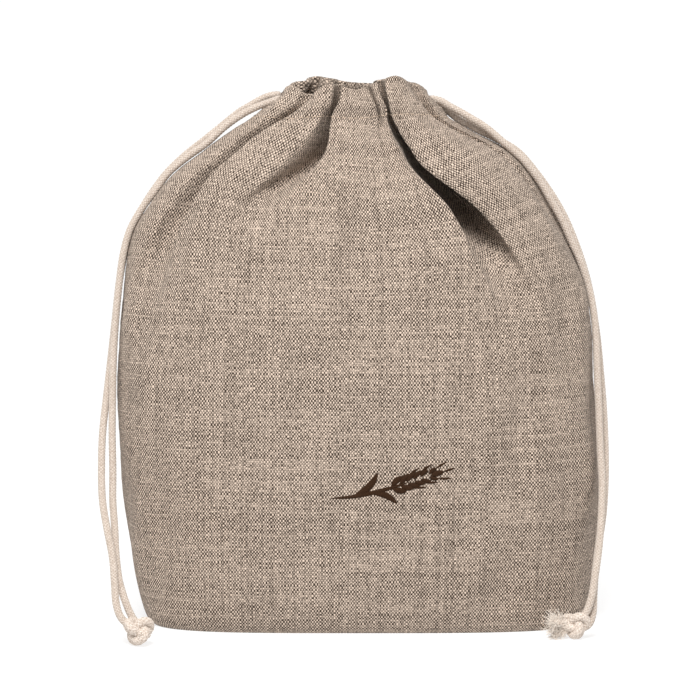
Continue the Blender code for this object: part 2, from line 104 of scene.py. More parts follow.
FOLD_COLUMNS = ("name", "rim_at", "neck_at", "shoulder_at", "upper_at", "foot_at", "foot_height",
                "rim_depth", "neck_depth", "shoulder_depth", "upper_depth",
                "neck_width", "shoulder_width", "upper_width", "lean", "swell", "fade_height",
                "undercut")
FOLDS = (
    ("left_cheek", -131, -136, -144, -147, -152, 160, 2.5, 8.0, 16.0, 10.5, 12, 13, 18, 0.75, 2.6, 0, 0.15),
    ("left_trough", -105, -105, -106, -116, -121, 178, 7.0, 15.0, 30.0, 12.0, 6, 20, 34, 0.60, 1.6, 240, 0.1),
    ("centre_pleat", -82, -78, -80, -80, -80, 258, 5.0, 5.0, 0.4, 0.0, 3.4, 8, 26, -0.3, 0.5, 0, 0.0),
    ("great_fold", -73, -73, -74, -61, -46, 144, 8.0, 15.0, 34.0, 52.0, 4, 6, 16, 0.24, 4.0, 211, 0.80),
    ("right_cheek", -38, -32, -19, -14, -14, 170, 2.5, 6.0, 5.0, 3.0, 12, 16, 24, 0.0, 0.3, 0, 0.0),
    ("right_back", 22, 24, 22, 22, 24, 172, 5.5, 10.0, 11.0, 5.0, 12, 16, 24, -0.3, 2.4, 0, 0.0),
    ("back_right_dip", 52, 52, 50, 54, 60, 158, 6.0, 10.0, 15.0, 8.0, 12, 18, 26, 0.4, 2.8, 0, 0.0),
    ("back_middle_dip", 84, 84, 86, 82, 78, 186, 4.5, 9.0, 12.0, 5.0, 12, 16, 24, -0.35, 2.0, 0, 0.0),
    ("back_left_dip", 112, 112, 114, 121, 128, 150, 6.0, 10.0, 17.0, 10.0, 12, 18, 28, 0.4, 3.0, 0, 0.0),
    ("left_back", 141, 143, 148, 152, 156, 172, 5.5, 9.0, 10.0, 5.0, 12, 16, 24, 0.0, 0.0, 0, 0.0),
)
FADE_SPAN = 24.0                  # millimetres either side of a fold's fade height
FADE_LEAST = 0.16
FOLD_LEVELS = (286.0, 271.0, 250.0, 220.0)
FOOT_FOLD_WIDTH = 52.0
SHARE_HEIGHT = 150.0
FOOT_BLEND_BELOW = 30.0
FOOT_BLEND_SPAN = 45.0
WALL_WIDEST = 0.42
WALL_LONGEST = 0.44
WALL_EASE = 0.5
LEAST_COLUMNS = 5                 # in the narrowest lobe
SWELL_HEIGHTS = (286.0, 268.0, 245.0, 215.0, 165.0)
SWELL_SHARES = (0.25, 0.7, 1.0, 0.55, 0.0)

RIM_WAVES = ((-180, 26, -4.6), (-131, 20, -6.4), (-92, 13, -4.0), (-60, 16, 3.2), (0, 30, -5.0),
             (66, 26, -1.5), (92, 16, -0.5), (122, 20, 2.6))
RIM_WAVE_SHARPNESS = 1.6
RIM_WAVE_FADE = 30.0
RIM_FADE_POWER = 1.5

RIGHT_SEAM_ANGLE = 5.0            # degrees; the left seam is at -180
OPENINGS = ((-1, -1.0, 277.4), (1, 0.2, 277.8))        # side, y and z of each side opening

# Cord routes, from the side openings down to the knots, in metres.
LEFT_OUTER_ROUTE = np.array((
    (-41.2, 1.6, 280.2), (-47.0, 2.4, 279.5), (-52.6, 2.8, 277.3), (-57.9, 2.9, 274.2),
    (-63.2, 2.9, 271.2), (-68.5, 2.8, 267.1), (-74.4, 2.6, 262.3), (-82.0, 2.3, 256.2),
    (-92.2, 2.3, 248.2), (-101.7, 1.9, 239.2), (-108.9, 0.9, 230.0), (-115.6, 0.2, 219.6),
    (-121.1, -0.6, 208.4), (-124.9, -2.0, 195.8), (-127.7, -4.0, 180.4), (-129.6, -7.3, 162.0),
    (-131.5, -11.8, 143.0), (-133.5, -18.2, 123.0), (-135.2, -26.8, 103.3),
    (-135.2, -36.0, 85.0), (-134.0, -45.0, 69.5), (-130.9, -54.5, 56.0), (-127.6, -62.5, 43.0),
    (-126.0, -70.0, 31.0), (-124.9, -75.2, 21.5), (-122.4, -79.6, 15.2), (-118.2, -82.0, 11.4),
    (-113.6, -81.6, 9.6))) * MM
LEFT_INNER_ROUTE = np.array((
    (-41.2, -3.4, 278.3), (-48.2, -3.4, 275.8), (-54.4, -3.3, 273.6), (-62.6, -3.0, 269.3),
    (-71.4, -2.5, 263.0), (-81.2, -2.7, 254.2), (-91.5, -2.8, 246.9), (-100.9, -3.3, 239.0),
    (-108.2, -4.2, 229.4), (-115.4, -5.0, 219.7), (-121.6, -5.9, 208.5), (-125.2, -7.3, 195.6),
    (-127.3, -9.3, 180.2), (-129.0, -12.7, 161.8), (-130.0, -17.2, 142.4),
    (-130.2, -22.4, 122.4), (-130.1, -28.2, 102.8), (-129.4, -34.4, 84.2), (-129.0, -41.0, 69.2),
    (-127.4, -49.6, 56.0), (-126.2, -57.2, 43.2), (-124.0, -65.4, 31.4), (-120.4, -72.4, 21.8),
    (-117.0, -77.0, 15.2), (-113.4, -79.4, 10.6))) * MM
RIGHT_BACK_ROUTE = np.array((
    (36.6, 2.9, 277.0), (41.5, 2.8, 275.8), (47.0, 1.8, 271.6), (53.0, 1.1, 266.9),
    (58.4, 0.9, 264.1), (64.0, 0.9, 261.0), (70.0, 0.9, 258.2), (76.2, 1.3, 255.0),
    (82.4, 2.3, 251.4), (88.0, 2.0, 246.4), (96.4, 1.9, 236.0), (103.6, 1.4, 225.6),
    (109.6, 0.8, 215.0), (114.3, 0.0, 204.2), (118.5, -1.1, 192.6), (122.0, -2.4, 180.4),
    (124.6, -4.2, 166.8), (126.9, -6.6, 150.8), (128.5, -10.0, 133.0), (129.8, -14.6, 114.6),
    (130.3, -20.6, 96.0), (129.9, -28.0, 79.0), (128.3, -36.4, 62.6), (125.5, -44.4, 47.6),
    (123.1, -51.4, 33.6), (121.9, -56.8, 22.4), (121.2, -60.6, 13.4), (118.8, -63.4, 7.6),
    (113.4, -64.4, 5.2))) * MM
RIGHT_FRONT_ROUTE = np.array((
    (36.6, -2.9, 278.2), (42.9, -3.4, 276.9), (48.3, -3.8, 273.8), (53.6, -4.0, 271.0),
    (58.9, -4.1, 267.9), (64.2, -4.2, 264.8), (69.6, -4.1, 260.9), (74.8, -3.9, 256.4),
    (80.2, -3.7, 251.8), (87.2, -3.5, 245.4), (95.7, -3.4, 234.6), (102.1, -3.9, 223.7),
    (108.1, -4.5, 213.3), (112.7, -5.1, 202.9), (117.5, -6.1, 192.2), (121.6, -7.3, 180.1),
    (124.4, -9.6, 166.2), (125.7, -12.6, 150.4), (126.2, -16.6, 132.4), (126.8, -21.4, 113.8),
    (127.2, -27.0, 94.8), (127.8, -33.3, 77.4), (126.8, -41.7, 61.0), (125.0, -50.0, 46.4),
    (122.5, -57.2, 32.4), (120.2, -62.0, 21.4), (117.2, -64.6, 14.0), (112.6, -64.8, 9.8))) * MM
CORDS = (("left_cord_outer", LEFT_OUTER_ROUTE, "left"), ("left_cord_inner", LEFT_INNER_ROUTE, "left"),
         ("right_cord_back", RIGHT_BACK_ROUTE, "right"),
         ("right_cord_front", RIGHT_FRONT_ROUTE, "right"))


# ---------------------------------------------------------------- settings a user would change
class ClothSettings(bpy.types.PropertyGroup):
    """The bag's cloth."""

    cloth_round: FloatProperty(name="Cloth round the bag", default=0.600, unit="LENGTH",
                               description="Width of cloth measured once round the bag")
    thickness: FloatProperty(name="Thickness", default=0.0013, unit="LENGTH",
                             description="Thickness of one layer of cloth")
    hem_thickness: FloatProperty(name="Hem thickness", default=0.0023, unit="LENGTH",
                                 description="Thickness of the folded hem at the mouth")
    columns: IntProperty(name="Columns", default=460, min=60,
                         description="Mesh columns round the cloth")
    warp_pitch: FloatProperty(name="Warp pitch", default=0.00080, unit="LENGTH",
                              description="Distance between upright yarns")
    weft_pitch: FloatProperty(name="Weft pitch", default=0.00103, unit="LENGTH",
                              description="Distance between level yarns")
    # The light and dark yarn colours are partly the flax's own tone. Their wide spread also paints highlight
    # on the warp crowns and shade on the weft crowns.
    light_yarn_and_highlight: FloatVectorProperty(name="Light yarn", subtype="COLOR", size=4,
                                    default=(0.70, 0.565, 0.46, 1.0),
                                    description="Colour of the palest flax yarns")
    dark_yarn_and_shade: FloatVectorProperty(name="Dark yarn", subtype="COLOR", size=4,
                                   default=(0.030, 0.019, 0.012, 1.0),
                                   description="Colour of the darkest flax yarns")
    # The gap colour is painted shade: the dark seen between the yarns stands in for their shadow.
    gap_shade_colour: FloatVectorProperty(name="Gap colour", subtype="COLOR", size=4,
                                    default=(0.018, 0.010, 0.006, 1.0),
                                    description="Colour seen between the yarns")


class CordSettings(bpy.types.PropertyGroup):
    """The drawstrings and their knots."""

    diameter: FloatProperty(name="Diameter", default=0.0038, unit="LENGTH",
                            description="Diameter of one strand of braided cord")
    strands: IntProperty(name="Braid strands", default=6, min=2,
                         description="Yarns of the braid that wind each way")
    braid_pitch: FloatProperty(name="Braid pitch", default=0.0105, unit="LENGTH",
                               description="Length of cord in which a braided yarn goes once round")
    colour: FloatVectorProperty(name="Colour", subtype="COLOR", size=4,
                                default=(0.62, 0.545, 0.48, 1.0),
                                description="Colour of the natural cotton")
    knot_colour: FloatVectorProperty(name="Knot colour", subtype="COLOR", size=4,
                                     default=(0.75, 0.67, 0.60, 1.0),
                                     description="Colour of the cotton at the knots")
    frayed_colour: FloatVectorProperty(name="Frayed colour", subtype="COLOR", size=4,
                                       default=(0.97, 0.89, 0.81, 1.0),
                                       description="Colour of the loose fibres at the cut ends")


class TrimSettings(bpy.types.PropertyGroup):
    """Stitching and embroidery."""

    stitch_length: FloatProperty(name="Stitch length", default=0.0031, unit="LENGTH",
                                 description="Length of one stitch of the hem's seam")
    stitch_radius: FloatProperty(name="Stitch radius", default=0.00021, unit="LENGTH",
                                 description="Half the thread's thickness")
    thread_colour: FloatVectorProperty(name="Sewing thread", subtype="COLOR", size=4,
                                       default=(0.33, 0.255, 0.195, 1.0),
                                       description="Colour of the hem's thread")
    embroidery_colour: FloatVectorProperty(name="Embroidery thread", subtype="COLOR", size=4,
                                           default=(0.020, 0.009, 0.004, 1.0),
                                           description="Colour of the embroidered sprig")


class StageSettings(bpy.types.PropertyGroup):
    """The studio."""

    sky: FloatProperty(name="Sky strength", default=0.50, min=0.0,
                       description="Strength of the even light from all round")
    key: FloatProperty(name="Key power", default=54.0, min=0.0, unit="POWER",
                       description="Power of the large soft lamp")


# ---------------------------------------------------------------- small helpers
def smooth_curve(at, knots, values):
    """Monotone cubic through (knots, values): on each span the Hermite cubic whose end slopes
    are the harmonic means of the neighbouring spans' slopes, or 0 where those differ in sign."""
    order = np.argsort(knots)
    x = np.asarray(knots, float)[order]
    y = np.asarray(values, float)[order]
    step = np.diff(x)
    slope = np.diff(y) / step
    tangent = np.empty_like(y)
    tangent[0], tangent[-1] = slope[0], slope[-1]
    product = slope[:-1] * slope[1:]
    total = slope[:-1] + slope[1:]
    tangent[1:-1] = np.where(product > 0, 2 * product / np.where(total == 0, 1, total), 0.0)
    where = np.clip(at, x[0], x[-1])
    i = np.clip(np.searchsorted(x, where) - 1, 0, len(step) - 1)
    t = (where - x[i]) / step[i]
    return ((2 * t**3 - 3 * t**2 + 1) * y[i] + (t**3 - 2 * t**2 + t) * step[i] * tangent[i]
            + (3 * t**2 - 2 * t**3) * y[i + 1] + (t**3 - t**2) * step[i] * tangent[i + 1])


def column(table, names, name):
    """One named column of a table as an array."""
    return np.array([row[names.index(name)] for row in table], float)


def unit(vectors):
    """Each vector divided by its length."""
    return vectors / np.maximum(np.linalg.norm(vectors, axis=-1, keepdims=True), 1e-12)


def smooth_step(low, high, value):
    """3 t^2 - 2 t^3, where t goes from 0 at `low` to 1 at `high` and stays there beyond them."""
    t = np.clip((value - low) / (high - low), 0.0, 1.0)
    return t * t * (3.0 - 2.0 * t)


def lengths_along(line):
    """The distance from a line's first point to each of its points, along the line."""
    return np.concatenate([[0.0], np.cumsum(np.linalg.norm(np.diff(line, axis=0), axis=1))])


def read_along(at, along, line):
    """The line's points at distances along it."""
    return np.stack([np.interp(at, along, line[:, k]) for k in range(line.shape[1])], axis=-1)


def shortest(difference, turn):
    """A difference round a closed line, brought between minus and plus half a turn."""
    return np.mod(difference + turn / 2, turn) - turn / 2


def circle(turn, side, up):
    """side cos + up sin for each turn, on a new axis before the last."""
    return np.cos(turn)[:, None] * side[..., None, :] + np.sin(turn)[:, None] * up[..., None, :]


def cell_corners(grid):
    """The four corners of each cell of a grid, in order round the cell."""
    return np.stack([grid[:-1, :-1], grid[:-1, 1:], grid[1:, 1:], grid[1:, :-1]], axis=2)


def tube_quads(rings):
    """Quads between neighbouring rings of point numbers, where each ring closes on itself."""
    after = np.roll(rings, -1, axis=-1)
    return np.stack([rings[..., :-1, :], after[..., :-1, :], after[..., 1:, :], rings[..., 1:, :]],
                    axis=-1).reshape(-1, 4)


def end_fans(rings):
    """Triangles from the first and last rings to the two points numbered after all the rings."""
    after = np.roll(rings, -1, axis=1)
    centre = np.full(rings.shape[1], rings.size)
    return [*np.stack([centre, after[0], rings[0]], axis=-1),
            *np.stack([rings[-1], after[-1], centre + 1], axis=-1)]


def make_mesh(name, vertices, faces, uv=None, uv_name="cloth"):
    """A smooth-shaded object from whole arrays: points, quads or triangles, and one UV a corner."""
    mesh = bpy.data.meshes.new(name)
    sizes = np.array([len(face) for face in faces])
    starts = np.concatenate([[0], np.cumsum(sizes)[:-1]])
    corners = np.concatenate([np.ravel(face) for face in faces])
    mesh.vertices.add(len(vertices))
    mesh.vertices.foreach_set("co", np.asarray(vertices, np.float32).ravel())
    mesh.loops.add(len(corners))
    mesh.loops.foreach_set("vertex_index", corners.astype(np.int32))
    mesh.polygons.add(len(sizes))
    mesh.polygons.foreach_set("loop_start", starts.astype(np.int32))
    mesh.polygons.foreach_set("loop_total", sizes.astype(np.int32))
    mesh.update(calc_edges=True)
    mesh.validate()
    if uv is not None:
        layer = mesh.uv_layers.new(name=uv_name)
        layer.data.foreach_set("uv", np.asarray(uv, np.float32).ravel())
    mesh.shade_smooth()
    made = bpy.data.objects.new(name, mesh)
    bpy.context.scene.collection.objects.link(made)
    return made


def capped_tubes(name, points):
    """One mesh of many short tubes with flat ends, from points shaped (tube, ring, corner, 3)."""
    rings = np.arange(points[..., 0].size).reshape(points.shape[:3])
    caps = np.concatenate([rings[:, 0, ::-1], rings[:, -1]])
    return make_mesh(name, points.reshape(-1, 3), [*tube_quads(rings), *caps])


# ---------------------------------------------------------------- the cloth's surface
SECTION_SAMPLES = 1441
NORMAL_REACH = 0.8 * MM           # slopes are read this far to either side


class Section:
    """The bag's smooth outline at one height: on each quarter a superellipse, x = a cos^(2/n),
    y = b sin^(2/n), read by the distance along it from the left seam."""

    def __init__(self, height):
        size = {name: float(smooth_curve(height, column(SECTIONS, SECTION_COLUMNS, "height"),
                                         column(SECTIONS, SECTION_COLUMNS, name)))
                for name in SECTION_COLUMNS[1:]}
        self.angles = np.linspace(-180.0, 180.0, SECTION_SAMPLES)
        turn = np.radians(self.angles)
        across = np.where(np.cos(turn) < 0, size["left"], size["right"])
        depth = np.where(np.sin(turn) < 0, size["front"], size["back"])
        power = 2.0 / size["power"]
        x = across * np.sign(np.cos(turn)) * np.abs(np.cos(turn)) ** power
        y = depth * np.sign(np.sin(turn)) * np.abs(np.sin(turn)) ** power
        self.points = np.stack([x, y], axis=1) * MM
        self.along = lengths_along(self.points)
        self.length = self.along[-1]

    def distance_at(self, angle):
        """The distance from the left seam to an angle in degrees."""
        return np.interp(angle, self.angles, self.along)

    def angle_at(self, distance):
        """The angle in degrees at a distance from the left seam."""
        return np.interp(np.mod(distance, self.length), self.along, self.angles)

    def point_at(self, distance):
        """The outline's x and y at a distance from the left seam."""
        return read_along(np.mod(distance, self.length), self.along, self.points)

    def frame_at(self, distance):
        """Point, tangent and outward normal at distances along the outline."""
        tangent = unit(self.point_at(distance + NORMAL_REACH)
                       - self.point_at(distance - NORMAL_REACH))
        normal = np.stack([tangent[..., 1], -tangent[..., 0]], axis=-1)
        return self.point_at(distance), tangent, normal


def fold_value(name, height):
    """A fold quantity for every fold at one height, in the table's own units."""
    foot = column(FOLDS, FOLD_COLUMNS, "foot_height")
    shoulder = column(FOLDS, FOLD_COLUMNS, "shoulder_" + name)
    upper = column(FOLDS, FOLD_COLUMNS, "upper_" + name)
    if name == "width":
        rim = neck = column(FOLDS, FOLD_COLUMNS, "neck_width")
        last = np.full(len(FOLDS), FOOT_FOLD_WIDTH)
    else:
        rim = column(FOLDS, FOLD_COLUMNS, "rim_" + name)
        neck = column(FOLDS, FOLD_COLUMNS, "neck_" + name)
        last = column(FOLDS, FOLD_COLUMNS, "foot_at") if name == "at" else np.zeros(len(FOLDS))
    values = []
    for k in range(len(FOLDS)):
        knots = [*FOLD_LEVELS, foot[k]]
        levels = [rim[k], neck[k], shoulder[k], upper[k], last[k]]
        if foot[k] > FOLD_LEVELS[3]:           # a short fold has faded above the upper wall
            knots, levels = [*FOLD_LEVELS[:2], foot[k], 0.0], [*levels[:2], levels[2], last[k]]
        values.append(float(smooth_curve(height, knots, levels)))
    if name == "depth":
        fade = column(FOLDS, FOLD_COLUMNS, "fade_height")
        values *= np.where(fade > 0, FADE_LEAST + (1 - FADE_LEAST) * smooth_step(
            fade - FADE_SPAN, fade + FADE_SPAN, height), 1.0)
    return np.array(values)


def fold_places(section, height):
    """Each fold's distance along the outline and its fixed share of the cloth, 0 to 1."""
    foot_section = Section(SHARE_HEIGHT)
    foot = foot_section.distance_at(column(FOLDS, FOLD_COLUMNS, "foot_at"))
    share = foot / foot_section.length
    natural = share * section.length
    chosen = section.distance_at(fold_value("at", height))
    foot_height = column(FOLDS, FOLD_COLUMNS, "foot_height")
    hold = smooth_step(0.0, 1.0, (height - foot_height + FOOT_BLEND_BELOW) / FOOT_BLEND_SPAN)
    return natural + (chosen - natural) * hold, share


def lobe_row(section, height, lobe, where, cloth_round):
    """One lobe of cloth at one height, from the bottom of a fold to the next, at `where`, 0 to 1
    in equal lengths of cloth. Down a trough's wall the distance inward is depth (1 + cos) / 2 and
    the step along the outline slows where the wall is steep; between the walls the cloth follows
    the outline and stands out by swell sin^2."""
    places, shares = fold_places(section, height)
    after = (lobe + 1) % len(FOLDS)
    wrap = 1.0 if after == 0 else 0.0
    start, end = places[lobe], places[after] + wrap * section.length
    cloth = (shares[after] + wrap - shares[lobe]) * cloth_round
    depths, widths = fold_value("depth", height) * MM, fold_value("width", height) * MM
    deepest = column(FOLDS, FOLD_COLUMNS, "shoulder_depth") * MM
    leans = column(FOLDS, FOLD_COLUMNS, "lean") * np.clip(depths / deepest, 0.0, 1.0)
    swell = column(FOLDS, FOLD_COLUMNS, "swell")[lobe] * MM
    swell *= float(smooth_curve(height, SWELL_HEIGHTS, SWELL_SHARES))
    distance, inward, slide = np.zeros((3, len(where)))
    halves, parts = [], []
    for fold in (lobe, after):
        half = min(widths[fold] / 2, WALL_WIDEST * (end - start))
        halves.append(half)
        parts.append(min(WALL_LONGEST, math.hypot(half, depths[fold]) / cloth))
    crest = (where >= parts[0]) & (where <= 1 - parts[1])
    across = (where - parts[0]) / (1 - parts[0] - parts[1])
    distance[crest] = (start + halves[0]
                       + across[crest] * (end - halves[1] - start - halves[0]))
    inward[crest] = -swell * np.sin(math.pi * across[crest]) ** 2
    sides = ((lobe, where < parts[0], where / parts[0], 1, start),
             (after, where > 1 - parts[1], (1 - where) / parts[1], -1, end))
    for side, (fold, chosen, up, way, origin) in enumerate(sides):
        up = up[chosen]
        steep = depths[fold] / (depths[fold] + WALL_EASE * halves[side])
        move = up + steep * np.sin(2 * math.pi * up) / (2 * math.pi)
        hollow = (column(FOLDS, FOLD_COLUMNS, "undercut")[fold] * depths[fold] / deepest[fold]
                  * np.sin(math.pi * up) ** 2)
        distance[chosen] = origin + way * halves[side] * (move + hollow)
        inward[chosen] = depths[fold] * 0.5 * (1 + np.cos(math.pi * up))
        slide[chosen] = leans[fold] * inward[chosen]
    return distance, inward, slide


def hem_swell(height):
    """How far the hem stands out: a bell-shaped pinch at the stitch line, then sin^2 over the
    cords in the channel."""
    above = (height - STITCH_HEIGHT) * MM
    if above < 0:
        return -STITCH_PINCH * MM * math.exp(-(above / (STITCH_REACH * MM)) ** 2)
    up = min(above / ((RIM_HEIGHT - STITCH_HEIGHT) * MM), 1.0)
    return (CHANNEL_SWELL * math.sin(math.pi * up) ** 2 - STITCH_PINCH * (1 - up) ** PINCH_POWER) * MM


def rim_rise(angle, height):
    """How far the mouth's edge waves up or down: a sum of bells round the mouth, fading below."""
    fade = np.clip(1 - (RIM_HEIGHT - height) / RIM_WAVE_FADE, 0.0, 1.0)
    rise = np.zeros_like(angle)
    for middle, half, size in RIM_WAVES:
        off = shortest(angle - middle, 360.0)
        rise += size * np.exp(-RIM_WAVE_SHARPNESS * (off / half) ** 2)
    return rise * MM * fade ** RIM_FADE_POWER


def wall_grid(heights, cloth):
    """The cloth's smooth outer surface as rows of points from the floor to the mouth, and each
    column's place in the cloth, in metres from the left seam."""
    shares = fold_places(Section(SHARE_HEIGHT), SHARE_HEIGHT)[1]
    spans = np.diff(np.append(shares, shares[0] + 1.0))
    counts = [max(LEAST_COLUMNS, round(float(span) * cloth.columns)) for span in spans]
    rows = []
    for height in heights:
        section = Section(height)
        parts = [lobe_row(section, height, lobe, np.arange(count) / count, cloth.cloth_round)
                 for lobe, count in enumerate(counts)]
        distance, inward, slide = (np.concatenate(values) for values in zip(*parts))
        point, tangent, normal = section.frame_at(distance)
        flat = point + normal * (hem_swell(height) - inward)[:, None] + tangent * slide[:, None]
        rise = rim_rise(section.angle_at(distance), height)
        rows.append(np.column_stack([flat, height * MM + rise]))
    place = np.concatenate([share + span * np.arange(count) / count
                            for share, span, count in zip(shares, spans, counts)])
    return np.array(rows), place * cloth.cloth_round


def grid_normals(points):
    """Outward unit normals of a closed-round grid: the cross product of its two differences."""
    around = np.roll(points, -1, axis=1) - np.roll(points, 1, axis=1)
    return unit(np.cross(around, np.gradient(points, axis=0)))


# ---------------------------------------------------------------- the cloth's small shapes
# Spans of height are in millimetres: a shape starts at the first and is at its full size, or has
# eased by its share, at the second.
GATHER_WAVES = ((47, 0.4, 0.30), (61, 2.1, 0.34), (78, 4.4, 0.26), (97, 1.3, 0.16))
GATHER_STARTS, GATHER_EASES, GATHER_EASE = (256.0, 272.0), (276.0, 286.0), 0.45
GATHER_LEAN = 0.02                # radians for each millimetre up
WRINKLE_SEED = 11
WRINKLES = 34
WRINKLE_SIZE = 0.16               # millimetres, each wave
WRINKLE_COUNTS, WRINKLE_LEAN = (5, 24), 0.055  # waves round the cloth; spread of radians per mm up
WRINKLE_STARTS, WRINKLE_EASES, WRINKLE_EASE = (2.0, 26.0), (255.0, 275.0), 0.6
SEAM_GROOVE = (1.15, 1.5)         # millimetres deep and wide
SEAM_RIDGE = (0.42, 4.2, 2.6)     # millimetres high, from the seam, and wide
SEAM_PUCKER, SEAM_PUCKER_TURNS = 0.25, (0.9, 0.23)
SEAM_STARTS = (0.0, 5.0)
OPENING_REACH = (6.9, 4.4)        # millimetres along y and z from the middle to the edge
OPENING_DEPTH, OPENING_LIP = 3.9, 0.5
LIP_AT, LIP_WIDTH = 1.35, 0.3
OPENING_BEYOND = 25.0             # millimetres from the middle plane: only cloth past it sinks
SHAPE_STARTS = (0.0, 3.0)
CROWDED_REACH, CROWDED_POWER = 3, 1.5          # small shapes fade where the columns crowd

CREASES = (                       # place round the cloth, height, lean, length, depth and width
    (92, 158, 0.22, 90, 1.1, 9), (128, 128, -0.12, 70, 0.7, 8), (176, 150, 0.05, 60, 0.6, 10),
    (238, 118, 0.30, 84, 1.0, 11), (262, 164, 0.36, 62, 1.0, 8), (300, 140, -0.20, 90, 1.1, 9),
    (332, 96, 0.10, 70, 0.8, 10), (366, 150, -0.22, 90, 1.2, 9), (398, 112, 0.18, 80, 0.9, 11),
    (436, 158, 0.12, 80, 1.2, 9), (470, 104, -0.16, 84, 0.9, 10), (508, 150, 0.20, 90, 1.3, 9),
    (548, 120, -0.10, 84, 1.0, 10), (584, 146, 0.16, 96, 1.2, 9), (22, 140, -0.20, 90, 1.2, 9),
    (50, 96, 0.14, 76, 0.8, 11),
)


def gathers(place, height, cloth_round):
    """Small upright pleats at the drawn hem: waves round the cloth, strongest at the hem."""
    turn = 2 * math.pi * place / cloth_round
    waves = sum(size * np.sin(count * turn + phase + GATHER_LEAN * height)
                for count, phase, size in GATHER_WAVES)
    strength = (smooth_step(*GATHER_STARTS, height)
                * (1.0 - GATHER_EASE * smooth_step(*GATHER_EASES, height)))
    return waves * strength * MM


def wrinkles(place, height, cloth_round):
    """Faint unevenness of a filled bag: a sum of small plane waves in the cloth, seeded."""
    random = np.random.default_rng(WRINKLE_SEED)
    turn = 2 * math.pi * place / cloth_round
    total = np.zeros(np.broadcast(place, height).shape)
    for _ in range(WRINKLES):
        count, rise = random.integers(*WRINKLE_COUNTS), random.normal(0, WRINKLE_LEAN)
        phase = random.uniform(0, 6.3)
        total += WRINKLE_SIZE * np.sin(count * turn + rise * height + phase)
    return (total * MM * smooth_step(*WRINKLE_STARTS, height)
            * (1 - WRINKLE_EASE * smooth_step(*WRINKLE_EASES, height)))


def creases(place, height, cloth_round):
    """Soft creases: each a long valley with a bell across and a sin^2 along."""
    total = np.zeros(np.broadcast(place, height).shape)
    for at, middle, lean, length, depth, width in CREASES:
        off = shortest(place / MM - at, cloth_round / MM)
        along = np.clip((height - middle) / length + 0.5, 0.0, 1.0)
        across = (off - lean * (height - middle)) / width
        total -= depth * np.exp(-across ** 2) * np.sin(math.pi * along) ** 2
    return total * MM


def seam_places(cloth_round):
    """Where the two side seams run, in metres round the cloth."""
    section = Section(SHARE_HEIGHT)
    return 0.0, section.distance_at(RIGHT_SEAM_ANGLE) / section.length * cloth_round


def seams(place, height, cloth_round):
    """The two side seams: a bell-shaped groove between two ridges that pucker along it."""
    (depth, width), (rise, beside, spread) = SEAM_GROOVE, SEAM_RIDGE
    quick, slow = SEAM_PUCKER_TURNS
    total = np.zeros(np.broadcast(place, height).shape)
    for number, at in enumerate(seam_places(cloth_round)):
        off = shortest(place - at, cloth_round)
        pucker = 1.0 + (SEAM_PUCKER * np.sin(height * quick + number)
                        * np.sin(height * slow + 2 * number))
        total -= depth * np.exp(-(off / (width * MM)) ** 2)
        total += rise * pucker * np.exp(-((np.abs(off) - beside * MM) / (spread * MM)) ** 2)
    return total * MM * smooth_step(*SEAM_STARTS, height)


def opening_dip(points):
    """How far each point sinks at the hem's side openings: an oval bowl sqrt(1 - o^4), where o
    is 1 on the oval's edge, with a low bell-shaped lip round it."""
    sink = np.zeros(points.shape)
    long, tall = OPENING_REACH
    for side, y, z in OPENINGS:
        off = ((points[..., 1] / MM - y) / long) ** 2 + ((points[..., 2] / MM - z) / tall) ** 2
        near = points[..., 0] * side > OPENING_BEYOND * MM
        bowl = np.clip(1.0 - off ** 2, 0.0, 1.0) ** 0.5
        lip = OPENING_LIP * np.exp(-((off - LIP_AT) / LIP_WIDTH) ** 2)
        sink[..., 0] -= side * np.where(near, OPENING_DEPTH * bowl - lip, 0.0) * MM
    return sink


CLOTH_HEIGHTS = np.concatenate([
    [0.0, 0.6, 1.6, 3.0, 4.8, 7.0, 10.0, 14.0], np.arange(18.0, 138.0, 3.4),
    np.arange(138.0, 258.0, 1.75), np.linspace(258.0, 286.0, 32)])
TIE_DEPTHS = (2.5, 7.0)           # millimetres: folds shallower or deeper than these tie or part
MAP_BLUR = 3                      # columns
MAP_ROUNDS, MAP_STEPS = 10, 60
ROW_BLUR = 6
BOTTOM_RINGS = (0.10, 0.26, 0.42, 0.58, 0.72, 0.84, 0.93, 0.975)
RIM_STEPS = 5
HEM_STARTS = (STITCH_HEIGHT - 1.0, STITCH_HEIGHT + 1.5)
TURN_OVER = 1.6                   # hem thicknesses of cloth that go over the rim
INSIDE_UPPER, INSIDE_MIDDLE, INSIDE_LOWER = (110, -2), (108, 8, -4), (5, 3, 1)   # rows kept inside


def cloth_shape(cloth):
    """Outer wall with all its small shapes, its normals, and each point's place in the cloth."""
    base, place = wall_grid(CLOTH_HEIGHTS, cloth)
    normal = grid_normals(base)
    heights = CLOTH_HEIGHTS[:, None]
    around = place[None, :]
    out = sum(shape(around, heights, cloth.cloth_round)
              for shape in (gathers, wrinkles, creases, seams))
    crowded = np.linalg.norm(np.roll(base, -1, axis=1) - np.roll(base, 1, axis=1), axis=2)
    crowded /= (np.roll(place, -1) - np.roll(place, 1)) % cloth.cloth_round
    room = np.clip(evened(crowded.T, CROWDED_REACH, True).T, 0.0, 1.0) ** CROWDED_POWER
    out *= smooth_step(*SHAPE_STARTS, heights) * room
    outer = base + normal * out[..., None]
    return outer + opening_dip(outer), grid_normals(outer), place


def evened(values, reach, closed=False):
    """Values averaged down their columns by a raised cosine, the ends held or joined round."""
    kernel = np.hanning(2 * reach + 1)
    kernel /= kernel.sum()
    ends = (values[-reach:], values[:reach]) if closed else (
        np.repeat(values[:1], reach, axis=0), np.repeat(values[-1:], reach, axis=0))
    padded = np.concatenate([ends[0], values, ends[1]])
    return np.stack([np.convolve(line, kernel, mode="valid") for line in padded.T], axis=1)


